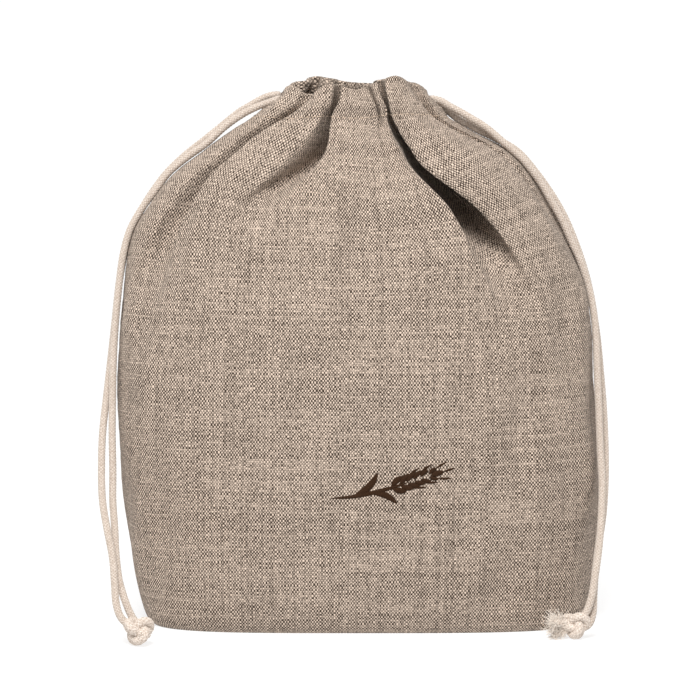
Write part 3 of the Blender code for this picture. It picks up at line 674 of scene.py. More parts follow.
def eased_parts(values, tie, part):
    """Spreads one value a stretch over the columns: v + tie (v' - v) t / 2, where v' is the
    neighbouring stretch's and t goes from 0 at the stretch's middle to 1 at its edge."""
    counts = np.bincount(part)
    place = (np.arange(len(part)) - np.searchsorted(part, part) + 0.5) / counts[part] * 2.0 - 1.0
    free = np.zeros((len(tie), 1))
    after, before = np.hstack([tie, free]), np.hstack([free, tie])
    high = (np.roll(values, -1, axis=1) - values) * after
    low = (np.roll(values, 1, axis=1) - values) * before
    return (values[:, part] + high[:, part] * np.clip(place, 0.0, 1.0) / 2
            + low[:, part] * np.clip(-place, 0.0, 1.0) / 2)


def cell_steps(field):
    """Each cell's mean step round the cloth and its mean step up, of a field on the points."""
    across, up = np.roll(field, -1, axis=-1) - field, np.diff(field, axis=-2)
    return (across[..., 1:, :] + across[..., :-1, :]) / 2, (up + np.roll(up, -1, axis=-1)) / 2


def cell_gather(across, up):
    """The transpose of cell_steps: shares each cell's two values out to its four points."""
    total = np.zeros((*across.shape[:-2], across.shape[-2] + 1, across.shape[-1]))
    total[..., 1:, :] += up - across
    total[..., :-1, :] -= up + across
    total[..., 1:, :] += np.roll(up + across, 1, axis=-1)
    total[..., :-1, :] += np.roll(across - up, 1, axis=-1)
    return total / 2


def relaxed(points, hold, flat):
    """Turns and slides the flat cloth, a patch at a time, until its patches keep their true sizes
    and right angles as nearly as they can. Each round finds every cell's nearest turn, the angle
    of (u_x + v_y, v_x - u_y), then solves for the places whose slopes come closest to those turns
    in least squares, by conjugate gradients. Cells where the cloth parts have no say."""
    across, up = cell_steps(np.moveaxis(points, -1, 0))
    wide = np.linalg.norm(across, axis=0)
    shift = (across * up).sum(axis=0) / wide
    tall = np.linalg.norm(up - across / wide * shift, axis=0)
    weight = wide * tall * (hold[1:] + hold[:-1]) / 2

    def slopes(field):
        """A field's change per metre round the cloth and per metre up it, in each cell."""
        step, rise = cell_steps(field)
        return step / wide, (rise - shift * step / wide) / tall

    def pull(one, two):
        """The transpose of slopes, with each cell's weight: shares two values out to the points."""
        two = two * weight / tall
        return cell_gather((one * weight - shift * two) / wide, two)

    for _ in range(MAP_ROUNDS):
        one, two = slopes(flat)
        turn = np.arctan2(one[1] - two[0], one[0] + two[1])
        rest = pull(np.stack([np.cos(turn), np.sin(turn)]) - one,
                    np.stack([-np.sin(turn), np.cos(turn)]) - two)
        way, size, move = rest.copy(), (rest ** 2).sum(), np.zeros_like(flat)
        for _ in range(MAP_STEPS):
            felt = pull(*slopes(way))
            amount = size / (way * felt).sum()
            move += amount * way
            rest -= amount * felt
            before, size = size, (rest ** 2).sum()
            way = rest + way * size / before
        flat = flat + move
    return flat


def cloth_map(outer, place, cloth):
    """Where each point lies in the flat cloth. It starts as the true length along the row plus an
    offset for each stretch between folds, which changes from row to row so that the upright yarns
    stay square to the rows, and the true length square to the rows; then it is relaxed. Across a
    shallow fold the places pass smoothly from stretch to stretch, and in deep folds and at the
    left seam they jump. Returns each face's left and right place, (round, up)."""
    count = outer.shape[1]
    share = place / cloth.cloth_round
    starts = fold_places(Section(SHARE_HEIGHT), SHARE_HEIGHT)[1]
    seam = int(np.searchsorted(share, 1.0))
    part = np.searchsorted(starts, share, side="right")
    part[seam:] = 0                                   # 0 runs from the seam to the first fold
    row = np.roll(outer, -seam, axis=1)
    part = np.roll(part, -seam)
    step = np.linalg.norm(np.roll(row, -1, axis=1) - row, axis=2)
    along = np.cumsum(step, axis=1) - step
    tangent = unit(np.roll(row, -1, axis=1) - np.roll(row, 1, axis=1))
    climb = np.diff(row, axis=0)
    sideways = (climb * unit(tangent[1:] + tangent[:-1])).sum(axis=2)
    number = part.max() + 1
    weight = np.zeros((number, count))
    for k in range(number):
        here = np.flatnonzero(part == k)
        weight[k, here] = np.sin(math.pi * (np.arange(len(here)) + 0.5) / len(here)) ** 2
    weight /= weight.sum(axis=1, keepdims=True)
    depth = np.array([fold_value("depth", height) for height in CLOTH_HEIGHTS])
    tie = 1.0 - smooth_step(*TIE_DEPTHS, np.maximum.accumulate(depth, axis=0))
    change = (along[:-1] - along[1:] + sideways) @ weight.T
    rise = np.linalg.norm(climb - sideways[..., None] * tangent[:-1], axis=2) @ weight.T
    gap = np.diff(CLOTH_HEIGHTS)[:, None]
    base = int(np.searchsorted(CLOTH_HEIGHTS, SHARE_HEIGHT))
    spread = []
    for values in (change, rise):
        total = np.vstack([np.zeros(number), np.cumsum(evened(values / gap, ROW_BLUR) * gap, axis=0)])
        spread.append(eased_parts(total - total[base], tie, part))
    offset, level = spread
    last = part != np.roll(part, -1)                  # the last column of each stretch
    hold = np.ones_like(offset)
    hold[:, last] = np.hstack([tie, np.zeros((len(tie), 1))])[:, part[last]]
    left = along + offset
    level = evened((level - level[0].mean()).T, MAP_BLUR, True).T
    flat = relaxed(row, hold, np.stack([left, level]))
    after = np.roll(flat, -1, axis=2)
    free = flat + np.stack([step, np.zeros_like(step)])
    sides = [flat, free + (after - free) * hold]
    return [np.moveaxis(np.roll(side, seam, axis=2), 0, -1) for side in sides]


def cloth_thickness(cloth, heights):
    """One layer of cloth below the stitch line and the hem's two layers above it."""
    return cloth.thickness + ((cloth.hem_thickness - cloth.thickness)
                              * smooth_step(*HEM_STARTS, heights))


def make_cloth(cloth):
    """The bag's one piece of cloth as a closed surface: rings run from the middle of the bottom,
    up the outside, over the rounded rim, down the inside and back to the middle."""
    outer, normal, place = cloth_shape(cloth)
    sides = cloth_map(outer, place, cloth)
    count = outer.shape[1]
    thick = cloth_thickness(cloth, CLOTH_HEIGHTS)
    inside = np.concatenate([np.arange(len(CLOTH_HEIGHTS) - 1, *INSIDE_UPPER),
                             np.arange(*INSIDE_MIDDLE), INSIDE_LOWER])
    foot, top = outer[0], outer[-1]
    edge = unit(normal[-1] * (1.0, 1.0, 0.0)) * thick[-1] / 2
    layers = [(foot * (share, share, 1.0), (0, 0, 0.0), True) for share in BOTTOM_RINGS]
    layers += [(ring, (row, 0, 0.0), row == 0) for row, ring in enumerate(outer)]
    for step in range(1, RIM_STEPS):
        angle = math.pi * step / RIM_STEPS
        ring = top - edge + edge * math.cos(angle) + np.array((0, 0, thick[-1] / 2 * math.sin(angle)))
        layers.append((ring, (-1, 0, thick[-1] / 2 * angle), False))
    floor_height = cloth.thickness
    for row in inside:
        ring = outer[row] - unit(normal[row]) * thick[row]
        ring[:, 2] = np.maximum(ring[:, 2], floor_height)
        layers.append((ring, (row, 1, thick[-1] * TURN_OVER), False))
    last = layers[-1][0] * (1.0, 1.0, 0.0) + (0.0, 0.0, floor_height)
    layers += [(last * (share, share, 1.0), layers[-1][1], True) for share in reversed(BOTTOM_RINGS)]
    rings, turned, flat = zip(*layers)    # turned: row, how far turned inside, extra height
    rings = np.array(rings)
    number = len(rings)
    here = np.arange(number * count).reshape(number, count)
    points = np.vstack([rings.reshape(-1, 3), (0, 0, 0), (0, 0, floor_height)])

    start, stop = (np.array([np.column_stack([side[row, :, 0], side[row, :, 1] * (1 - 2 * over)
                                              + side[-1, :, 1] * 2 * over + extra])
                             for row, over, extra in turned]) for side in sides)
    spread = np.concatenate([rings[..., :2], rings[:, :1, :2]], axis=1)
    corners = []
    for ring in range(number - 1):
        left, right = start, stop
        if flat[ring] and flat[ring + 1]:
            left, right = spread[:, :-1], spread[:, 1:]
        corners.append(np.stack([left[ring], right[ring], right[ring + 1], left[ring + 1]], axis=1))
    middle = np.zeros((count, 2))
    corners = np.concatenate([
        np.concatenate(corners).reshape(-1, 2),
        np.stack([middle, spread[0, 1:], spread[0, :-1]], axis=1).reshape(-1, 2),
        np.stack([spread[-1, :-1], spread[-1, 1:], middle], axis=1).reshape(-1, 2)])
    return make_mesh("bag_cloth", points, [*tube_quads(here), *end_fans(here)], corners)


# ---------------------------------------------------------------- tubes, braid and fibres
CURVE_STEPS = 24                  # between two points of a route
BRAID_RELIEF, BRAID_MEAN = 0.26 * MM, 0.55
TUBE_END = 0.0016                 # the least share of a tube's squared radius at its ends
FIBRE_RINGS, FIBRE_BEND = 8, 0.85
FIBRE_TAPER, FIBRE_SIZES = 0.75, (0.7, 1.2)
FIBRE_ABOVE = 1.3                 # radii that a fibre's middle line keeps from the floor


def even_path(route, step):
    """The route as a smooth curve (Catmull-Rom cubics through its points), read at even steps."""
    ends = np.vstack([2 * route[0] - route[1], route, 2 * route[-1] - route[-2]])
    t = np.linspace(0.0, 1.0, CURVE_STEPS, endpoint=False)[None, :, None]
    a, b, c, d = (ends[k:len(ends) - 3 + k][:, None, :] for k in range(4))
    dense = 0.5 * (2 * b + (c - a) * t + (2 * a - 5 * b + 4 * c - d) * t**2
                   + (3 * b - a - 3 * c + d) * t**3)
    dense = np.vstack([dense.reshape(-1, 3), route[-1]])
    along = lengths_along(dense)
    even = np.linspace(0.0, along[-1], max(8, round(along[-1] / step)))
    return read_along(even, along, dense)


def woven_height(across, up):
    """Height of a plain weave, 0 to 1: each yarn is a half sine across, and rises over one
    neighbour and dips under the next; the higher yarn shows."""
    fa, fb = np.mod(across, 1.0), np.mod(up, 1.0)
    sign = 1.0 - 2.0 * np.mod(np.floor(across) + np.floor(up), 2.0)
    a, b = np.sin(math.pi * fa), np.sin(math.pi * fb)
    return np.maximum(a * (0.5 + 0.5 * sign * b), b * (0.5 - 0.5 * sign * a))


def braided_tube(name, path, radius, sides, cord, reference=(0.0, 1.0, 0.0)):
    """A round tube along a path: each ring is path + r (cos side + sin up), with the braid's
    height added to r, and rounded ends where the rings shrink by a quarter circle."""
    tangent = unit(np.gradient(path, axis=0))
    side = unit(np.cross(tangent, reference))
    along = lengths_along(path)
    turn = np.arange(sides) / sides
    size = np.full(len(path), radius)
    for reach in (along, along[-1] - along):
        size *= np.sqrt(np.clip(1 - (1 - np.clip(reach / size, 0.0, 1.0)) ** 2, TUBE_END, 1.0))
    wound, down = turn[None, :], along[:, None] / cord.braid_pitch
    woven = woven_height(cord.strands * (wound + down), cord.strands * (wound - down))
    grow = BRAID_RELIEF * (woven - BRAID_MEAN)
    ring = (size[:, None] + grow * size[:, None] / size.max())[..., None] * circle(
        2 * math.pi * turn, side, np.cross(tangent, side))
    points = path[:, None, :] + ring
    number = len(path)
    here = np.arange(number * sides).reshape(number, sides)
    around = np.append(turn, 1.0)
    grid = np.stack(np.broadcast_arrays(around[None, :], along[:, None]), axis=-1)
    centre = np.stack([turn + 0.5 / sides, np.zeros(sides)], axis=-1)
    corners = np.concatenate([
        cell_corners(grid).reshape(-1, 2),
        np.stack([centre, grid[0, 1:], grid[0, :-1]], axis=1).reshape(-1, 2),
        np.stack([grid[-1, :-1], grid[-1, 1:], centre + (0, along[-1])], axis=1).reshape(-1, 2)])
    points = np.vstack([points.reshape(-1, 3), path[0], path[-1]])
    return make_mesh(name, points, [*tube_quads(here), *end_fans(here)], corners, "cord")


def fibres(name, roots, ways, lengths, radius, seed):
    """Many fine curved hairs in one mesh: each follows root + way s + bend s^2 and is a closed
    three-sided tube that tapers to its tip."""
    random = np.random.default_rng(seed)
    count = len(roots)
    t = np.linspace(0.0, 1.0, FIBRE_RINGS)[None, :, None]
    curl = random.normal(0, FIBRE_BEND, (count, 1, 3))
    line = roots[:, None, :] + lengths[:, None, None] * (ways[:, None, :] * t + curl * t * t)
    line[..., 2] = np.maximum(line[..., 2], FIBRE_ABOVE * radius[:, None])
    helper = np.where(np.abs(ways[:, 2:3]) > 0.8, (1.0, 0.0, 0.0), (0.0, 0.0, 1.0))
    side = unit(np.cross(ways, helper))[:, None, :]
    up = unit(np.cross(ways[:, None, :], side))
    taper = radius[:, None, None, None] * (1.0 - FIBRE_TAPER * t[..., None])
    taper = taper * random.uniform(*FIBRE_SIZES, (count, 1, 1, 1))
    ring = taper * circle(2 * math.pi * np.arange(3) / 3, side, up)
    return capped_tubes(name, line[:, :, None, :] + ring)


def overhand_path(middle, size, turns, height, steps=220):
    """The middle line of a drawn overhand knot: the trefoil x = sin t + 2 sin 2t,
    y = cos t - 2 cos 2t, z = -h sin 3t, scaled to `size` and turned by three angles."""
    t = np.linspace(0.0, 2 * math.pi, steps)
    curve = np.column_stack([np.sin(t) + 2 * np.sin(2 * t), np.cos(t) - 2 * np.cos(2 * t),
                             -height * np.sin(3 * t)]) / 3.0
    x, y, z = (math.radians(a) for a in turns)
    about_x = np.array([[1, 0, 0], [0, math.cos(x), -math.sin(x)], [0, math.sin(x), math.cos(x)]])
    about_y = np.array([[math.cos(y), 0, math.sin(y)], [0, 1, 0], [-math.sin(y), 0, math.cos(y)]])
    about_z = np.array([[math.cos(z), -math.sin(z), 0], [math.sin(z), math.cos(z), 0], [0, 0, 1]])
    return (curve * np.asarray(size)) @ (about_z @ about_y @ about_x).T * MM + np.asarray(middle) * MM


# ---------------------------------------------------------------- shader helpers
SHEEN_ROUGHNESS = 0.6
SHEEN_TINT = (1.0, 0.95, 0.88, 1.0)
WOVEN_SHADES = (0.66, 0.61, 0.57, 1.0)         # a darker cotton, as shares of the pale one
LOOSE_SHADES = (0.90, 0.87, 0.84, 1.0)
# Painted shade in the braid's gaps, as shares of the pale cotton.
BRAID_GAP_SHADE = (0.42, 0.34, 0.28, 1.0)
COTTON_GAP_SHADE, COTTON_TONE, COTTON_FELT = 0.7, 0.25, 0.35
COTTON_ROUGHNESS = (0.86, 0.98)
THREAD_LIGHT, THREAD_SPREAD = 2.2, 0.08        # times the thread's colour; of roughness


def put(tree, kind, values=(), **settings_):
    """Adds a node; `values` are (socket, number, colour or linked socket) pairs."""
    made = tree.nodes.new(kind)
    for name, value in settings_.items():
        setattr(made, name, value)
    for socket, value in values:
        if isinstance(value, bpy.types.NodeSocket):
            tree.links.new(value, made.inputs[socket])
        else:
            made.inputs[socket].default_value = value
    return made


def calc(tree, operation, *values):
    """One sum, product or other operation on numbers or linked sockets."""
    return put(tree, "ShaderNodeMath", list(enumerate(values)), operation=operation).outputs[0]


def blend(tree, share, low, high):
    """Mixes two colours by a share."""
    return put(tree, "ShaderNodeMix", ((0, share), (6, low), (7, high)), data_type="RGBA").outputs[2]


def blend_numbers(tree, share, low, high):
    """Mixes two numbers by a share."""
    return put(tree, "ShaderNodeMix", ((0, share), (2, low), (3, high)), data_type="FLOAT").outputs[0]


def ramped(tree, value, low, high, at_low=0.0, at_high=1.0):
    """A number carried smoothly from one range to another."""
    return put(tree, "ShaderNodeMapRange",
               (("Value", value), ("From Min", low), ("From Max", high),
                ("To Min", at_low), ("To Max", at_high)), interpolation_type="SMOOTHSTEP").outputs[0]


def noise(tree, vector, scale, detail=2.0, roughness=0.5):
    """Smooth random values, 0 to 1, over a position."""
    return put(tree, "ShaderNodeTexNoise",
               (("Vector", vector), ("Scale", scale), ("Detail", detail),
                ("Roughness", roughness))).outputs["Fac"]


def group(name, inputs, outputs):
    """An empty shader node group with named outputs and inputs; an input of None is a vector."""
    tree = bpy.data.node_groups.new(name, "ShaderNodeTree")
    for label, start in inputs:
        if start is None:
            tree.interface.new_socket(label, in_out="INPUT", socket_type="NodeSocketVector")
        else:
            socket = tree.interface.new_socket(label, in_out="INPUT", socket_type="NodeSocketFloat")
            socket.default_value = start
    for label in outputs:
        tree.interface.new_socket(label, in_out="OUTPUT", socket_type="NodeSocketFloat")
    return tree, tree.nodes.new("NodeGroupInput").outputs, tree.nodes.new("NodeGroupOutput").inputs


# The weave's noises are read at one scale across the yarns and another along them.
SLOW_WANDER, QUICK_WANDER, QUICK_SHARE = (0.37, 0.06), (0.9, 0.45), 0.6
WARP_SEED, WEFT_SEED, QUICK_SEED = 3.1, 8.7, 5.0
YARN_NOISE, WARP_NOISE_SEED, WEFT_NOISE_SEED = (0.83, 0.06), 21.3, 47.9
WARP_LENGTH, WEFT_LENGTH = 0.013, 0.011        # one over a yarn's length, in crossings
NOISE_SHARE, CROSSING_SHARE = 0.35, 0.45       # of a yarn's tone, and of the whole tone
CROSS_OVER = (-0.3, 0.3)
SLUB_FROM, SLUB_HEIGHT, SLUB_TONE = (0.66, 0.76), 0.3, 0.35
# Weave heights over which the gap mask fades; the mask paints shade between the yarns.
GAP_SHADE_FROM = (0.15, 0.62)


def woven_yarns():
    """Plain weave in yarn counts. Each yarn is a half sine across; at a crossing the sign of
    (-1)^(i + j) lifts one yarn and lowers the other, and the higher shows. Noise stretched along
    the yarns makes them wander and thicken; each yarn and each crossing has its own tone."""
    name = "woven_yarns"
    if name in bpy.data.node_groups:
        return bpy.data.node_groups[name]
    tree, start, end = group(name, (("Across", 0.0), ("Up", 0.0), ("Wander", 0.6), ("Slub", 1.0)),
                             ("Height", "Over", "Tone", "GapShade"))

    def joined(x, y=0.0, z=0.0):
        """Three numbers as one vector."""
        return put(tree, "ShaderNodeCombineXYZ", ((0, x), (1, y), (2, z))).outputs[0]

    def stretched(x, y, scale_x, scale_y, seed, detail=1.0):
        """Noise read at its own scale each way."""
        return noise(tree, joined(calc(tree, "MULTIPLY", x, scale_x),
                                  calc(tree, "MULTIPLY", y, scale_y), seed), 1.0, detail)

    def speckled(x, y):
        """One random number for each whole pair."""
        return put(tree, "ShaderNodeTexWhiteNoise", (("Vector", joined(x, y)),),
                   noise_dimensions="2D").outputs["Value"]

    across, up = start["Across"], start["Up"]
    shifted = []
    for here, other, seed in ((across, up, WARP_SEED), (up, across, WEFT_SEED)):
        slow = calc(tree, "SUBTRACT", stretched(here, other, *SLOW_WANDER, seed), 0.5)
        quick = calc(tree, "SUBTRACT", stretched(here, other, *QUICK_WANDER, seed + QUICK_SEED), 0.5)
        push = calc(tree, "MULTIPLY_ADD", quick, QUICK_SHARE, slow)
        shifted.append(calc(tree, "MULTIPLY_ADD", push, start["Wander"], here))
    count, crown = [], []
    for yarn in shifted:
        count.append(calc(tree, "FLOOR", yarn))
        crown.append(calc(tree, "SINE", calc(tree, "MULTIPLY", calc(tree, "FRACT", yarn), math.pi)))
    both = calc(tree, "ADD", count[0], count[1])
    sign = calc(tree, "MULTIPLY_ADD", calc(tree, "FLOORED_MODULO", both, 2.0), -2.0, 1.0)
    over = calc(tree, "MULTIPLY", sign, calc(tree, "MULTIPLY", crown[0], crown[1]))
    lift = calc(tree, "MULTIPLY", sign, 0.5)
    warp = calc(tree, "MULTIPLY", crown[0], calc(tree, "MULTIPLY_ADD", lift, crown[1], 0.5))
    drop = calc(tree, "MULTIPLY", lift, -1.0)
    weft = calc(tree, "MULTIPLY", crown[1], calc(tree, "MULTIPLY_ADD", drop, crown[0], 0.5))
    on_top = ramped(tree, over, *CROSS_OVER)
    along = [stretched(count[0], up, *YARN_NOISE, WARP_NOISE_SEED, 2.0),
             stretched(count[1], across, *YARN_NOISE, WEFT_NOISE_SEED, 2.0)]
    own = [speckled(count[0], calc(tree, "FLOOR", calc(tree, "MULTIPLY", up, WARP_LENGTH))),
           speckled(calc(tree, "FLOOR", calc(tree, "MULTIPLY", across, WEFT_LENGTH)), count[1])]
    tones = [calc(tree, "MULTIPLY_ADD", one, NOISE_SHARE, calc(tree, "MULTIPLY", two, 1 - NOISE_SHARE))
             for one, two in zip(along, own)]
    mixed = blend_numbers(tree, on_top, tones[1], tones[0])
    slub = blend_numbers(tree, on_top, along[1], along[0])
    slub = calc(tree, "MULTIPLY", ramped(tree, slub, *SLUB_FROM), start["Slub"])
    height = calc(tree, "MULTIPLY_ADD", slub, SLUB_HEIGHT, calc(tree, "MAXIMUM", warp, weft))
    tone = calc(tree, "MULTIPLY_ADD", speckled(count[0], count[1]), CROSSING_SHARE,
                calc(tree, "MULTIPLY", mixed, 1 - CROSSING_SHARE))
    tone = calc(tree, "MULTIPLY_ADD", slub, SLUB_TONE, tone)
    # The gap output is the mask for painted shade between the yarns, where the weave is low.
    for label, value in (("Height", height), ("Over", over), ("Tone", tone),
                         ("GapShade", ramped(tree, height, *GAP_SHADE_FROM, 1.0, 0.0))):
        tree.links.new(value, end[label])
    return tree


def fibre_haze():
    """Fine felted unevenness from noise on a position, for colour and roughness."""
    name = "fibre_haze"
    if name in bpy.data.node_groups:
        return bpy.data.node_groups[name]
    tree, start, end = group(name, (("Position", None), ("Scale", 400.0)), ("Fine", "Broad"))
    fine = noise(tree, start["Position"], start["Scale"], 3.0, 0.65)
    broad = noise(tree, start["Position"], calc(tree, "MULTIPLY", start["Scale"], 0.06), 2.0)
    tree.links.new(ramped(tree, fine, 0.25, 0.75), end["Fine"])
    tree.links.new(ramped(tree, broad, 0.3, 0.7), end["Broad"])
    return tree


def haze_at(tree, scale):
    """The outputs of fibre_haze over the piece's own coordinates."""
    where = put(tree, "ShaderNodeTexCoord").outputs["Object"]
    return put(tree, "ShaderNodeGroup", (("Position", where), ("Scale", scale)),
               node_tree=fibre_haze()).outputs


def map_place(tree, name):
    """The two numbers of a named UV map."""
    return put(tree, "ShaderNodeSeparateXYZ",
               ((0, put(tree, "ShaderNodeUVMap", uv_map=name).outputs[0]),)).outputs


def new_material(name, roughness, sheen, shine=0.22):
    """A material whose principled shader has its steady numbers set on the sockets."""
    made = bpy.data.materials.new(name)
    made.use_nodes = True
    shader = made.node_tree.nodes["Principled BSDF"]
    shader.inputs["Roughness"].default_value = roughness
    shader.inputs["Specular IOR Level"].default_value = shine
    shader.inputs["Sheen Weight"].default_value = sheen
    shader.inputs["Sheen Roughness"].default_value = SHEEN_ROUGHNESS
    shader.inputs["Sheen Tint"].default_value = SHEEN_TINT
    return made, made.node_tree, shader


def bumped(tree, shader, height, strength, distance):
    """Raises the surface's shading by a height, over a distance in metres."""
    bump = put(tree, "ShaderNodeBump", (("Strength", strength), ("Distance", distance),
                                        ("Height", height)))
    tree.links.new(bump.outputs[0], shader.inputs["Normal"])


# The crown ramp is partly the yarns' own tone and partly painted highlight and shade on the crossings'
# crowns.
LINEN_WANDER, LINEN_CROWN_TONE_AND_HIGHLIGHT = 1.2, (-0.7, 0.7, 0.06, 0.94)
# How strongly the painted shade in the gaps between the yarns is laid on.
LINEN_TONE, LINEN_MOTTLE, LINEN_GAP_SHADE = 0.95, 0.06, 0.75
LINEN_ROUGHNESS = (0.82, 0.97)


def linen_material(cloth):
    """Unbleached linen in the cloth's own coordinates: pale warp crowns over darker weft, partly the
    yarns' own tone and partly painted highlight and shade; painted shade in the gaps; yarns and
    crossings of uneven tone, and broad faint mottling."""
    made, tree, shader = new_material("bag_linen", 0.9, 0.10, 0.08)
    place = map_place(tree, "cloth")
    yarns = put(tree, "ShaderNodeGroup",
                (("Across", calc(tree, "DIVIDE", place[0], cloth.warp_pitch)),
                 ("Up", calc(tree, "DIVIDE", place[1], cloth.weft_pitch)), ("Wander", LINEN_WANDER)),
                node_tree=woven_yarns()).outputs
    haze = haze_at(tree, 700.0)
    # Pale warp crowns and dark weft crowns: partly yarn tone, partly painted highlight and shade.
    light = ramped(tree, yarns["Over"], *LINEN_CROWN_TONE_AND_HIGHLIGHT)
    for source, amount in ((yarns["Tone"], LINEN_TONE), (haze["Broad"], LINEN_MOTTLE)):
        light = calc(tree, "MULTIPLY_ADD", calc(tree, "SUBTRACT", source, 0.5), amount, light)
    light = calc(tree, "MAXIMUM", light, 0.0)
    colour = blend(tree, light, tuple(cloth.dark_yarn_and_shade), tuple(cloth.light_yarn_and_highlight))
    # Painted shade in the gaps between the yarns.
    colour = blend(tree, calc(tree, "MULTIPLY", yarns["GapShade"], LINEN_GAP_SHADE), colour,
                   tuple(cloth.gap_shade_colour))
    tree.links.new(colour, shader.inputs["Base Color"])
    tree.links.new(ramped(tree, haze["Fine"], 0.0, 1.0, *LINEN_ROUGHNESS), shader.inputs["Roughness"])
    bumped(tree, shader, yarns["Height"], 0.6, 0.0004)
    return made


def shaded(colour, shades):
    """A colour times a share for each of its channels."""
    return tuple(part * share for part, share in zip(colour, shades))


def cotton_material(name, colour, cord, braided):
    """Natural cotton: braided yarns wound both ways round the cord, with painted shade in the braid's gaps,
    or loose felted fibres.
    """
    made, tree, shader = new_material(name, 0.92, 0.35)
    haze = haze_at(tree, 1500.0)
    dark = shaded(colour, WOVEN_SHADES if braided else LOOSE_SHADES)
    base = blend(tree, ramped(tree, haze["Fine"], 0.25, 0.75), dark, tuple(colour))
    height = haze["Fine"]
    if braided:
        place = map_place(tree, "cord")
        wound = calc(tree, "MULTIPLY", place[0], float(cord.strands))
        along = calc(tree, "MULTIPLY", place[1], cord.strands / cord.braid_pitch)
        yarns = put(tree, "ShaderNodeGroup",
                    (("Across", calc(tree, "ADD", wound, along)),
                     ("Up", calc(tree, "SUBTRACT", wound, along)), ("Wander", 0.0), ("Slub", 0.0)),
                    node_tree=woven_yarns()).outputs
        # Painted shade in the gaps between the braid's yarns.
        base = blend(tree, calc(tree, "MULTIPLY", yarns["GapShade"], COTTON_GAP_SHADE), base,
                     shaded(colour, BRAID_GAP_SHADE))
        base = blend(tree, calc(tree, "MULTIPLY", yarns["Tone"], COTTON_TONE), base, tuple(colour))
        height = calc(tree, "MULTIPLY_ADD", haze["Fine"], COTTON_FELT, yarns["Height"])
    tree.links.new(base, shader.inputs["Base Color"])
    tree.links.new(ramped(tree, haze["Broad"], 0.0, 1.0, *COTTON_ROUGHNESS),
                   shader.inputs["Roughness"])
    bumped(tree, shader, height, 0.6, 0.0003)
    return made


def thread_material(name, colour, roughness, sheen, shine):
    """Sewing or embroidery thread: colour and roughness that vary with fine noise."""
    made, tree, shader = new_material(name, roughness, sheen, shine)
    haze = haze_at(tree, 2200.0)
    light = tuple(min(1.0, part * THREAD_LIGHT) for part in colour[:3]) + (1.0,)
    tree.links.new(blend(tree, haze["Fine"], tuple(colour), light), shader.inputs["Base Color"])
    tree.links.new(ramped(tree, haze["Broad"], 0.0, 1.0, roughness - THREAD_SPREAD,
                          roughness + THREAD_SPREAD), shader.inputs["Roughness"])
    bumped(tree, shader, haze["Fine"], 0.5, 0.0001)
    return made


# ---------------------------------------------------------------- stitches and embroidery
STITCH_RINGS, STITCH_SIDES = 7, 6
STITCH_REST = 0.80                # the share of a stitch's length that shows
STITCH_PROUD, STITCH_DIP, STITCH_END = 0.55, 1.6, 0.02
SEAM_ABOVE = 0.4                  # millimetres from the pinch's middle up to the row of stitches


def row_at(surface, height):
    """The ring of the outer cloth at one height of the bag's flat rows."""
    row = np.interp(height, CLOTH_HEIGHTS, np.arange(len(CLOTH_HEIGHTS)))
    low = int(row)
    high = min(low + 1, len(CLOTH_HEIGHTS) - 1)
    return surface[low] + (surface[high] - surface[low]) * (row - low)


def stitch_line(name, ring, outward, length, radius):
    """Stitches round a ring: each a capsule r(s) = r sqrt(1 - s^4), whose middle line stands
    proud of the cloth by p r (1 - d s^6), so that it dips in at its ends."""
    line = np.vstack([ring, ring[:1]])
    out = np.vstack([outward, outward[:1]])
    along = lengths_along(line)
    number = int(along[-1] / length)
    s = np.linspace(-1.0, 1.0, STITCH_RINGS)
    at = (np.arange(number)[:, None] + 0.5 + STITCH_REST / 2 * s[None, :]) * length
    where, normal = read_along(at, along, line), unit(read_along(at, along, out))
    tangent = unit(np.gradient(where, axis=1))
    side = np.cross(normal, tangent)
    size = radius * np.sqrt(np.clip(1 - s ** 4, STITCH_END, 1.0))[None, :, None, None]
    where = where + normal * (radius * STITCH_PROUD * (1 - STITCH_DIP * np.abs(s) ** 6))[None, :, None]
    turn = 2 * math.pi * np.arange(STITCH_SIDES) / STITCH_SIDES
    return capped_tubes(name, where[:, :, None, :] + size * circle(turn, side, normal))


FRONT_STEPS = 241
FRONT_LIMIT = -20.0               # millimetres: cloth before this y is the bag's front


class FrontCloth:
    """The outer cloth's front as a height field y(x, z), read by bilinear steps."""

    def __init__(self, surface, low, high, left, right):
        rows = (CLOTH_HEIGHTS >= low) & (CLOTH_HEIGHTS <= high)
        self.z = CLOTH_HEIGHTS[rows] * MM
        self.x = np.linspace(left, right, FRONT_STEPS) * MM
        depth = []
        for ring in surface[rows]:
            front = ring[ring[:, 1] < FRONT_LIMIT * MM]
            front = front[np.argsort(front[:, 0])]
            depth.append(np.interp(self.x, front[:, 0], front[:, 1]))
        self.y = np.array(depth)

    def at(self, x, z):
        """Points on the cloth at x and z, and the cloth's outward normals there."""
        def depth(px, pz):
            """y at each x and z, weighted by the distances to the four points round it."""
            i = np.clip(np.searchsorted(self.x, px) - 1, 0, len(self.x) - 2)
            k = np.clip(np.searchsorted(self.z, pz) - 1, 0, len(self.z) - 2)
            s = (px - self.x[i]) / (self.x[i + 1] - self.x[i])
            t = (pz - self.z[k]) / (self.z[k + 1] - self.z[k])
            return ((1 - t) * ((1 - s) * self.y[k, i] + s * self.y[k, i + 1])
                    + t * ((1 - s) * self.y[k + 1, i] + s * self.y[k + 1, i + 1]))
        y = depth(x, z)
        reach = NORMAL_REACH
        slope_x = (depth(x + reach, z) - depth(x - reach, z)) / (2 * reach)
        slope_z = (depth(x, z + reach) - depth(x, z - reach)) / (2 * reach)
        normal = unit(np.stack([slope_x, -np.ones_like(y), slope_z], axis=-1))
        return np.stack([x, y, z], axis=-1), normal


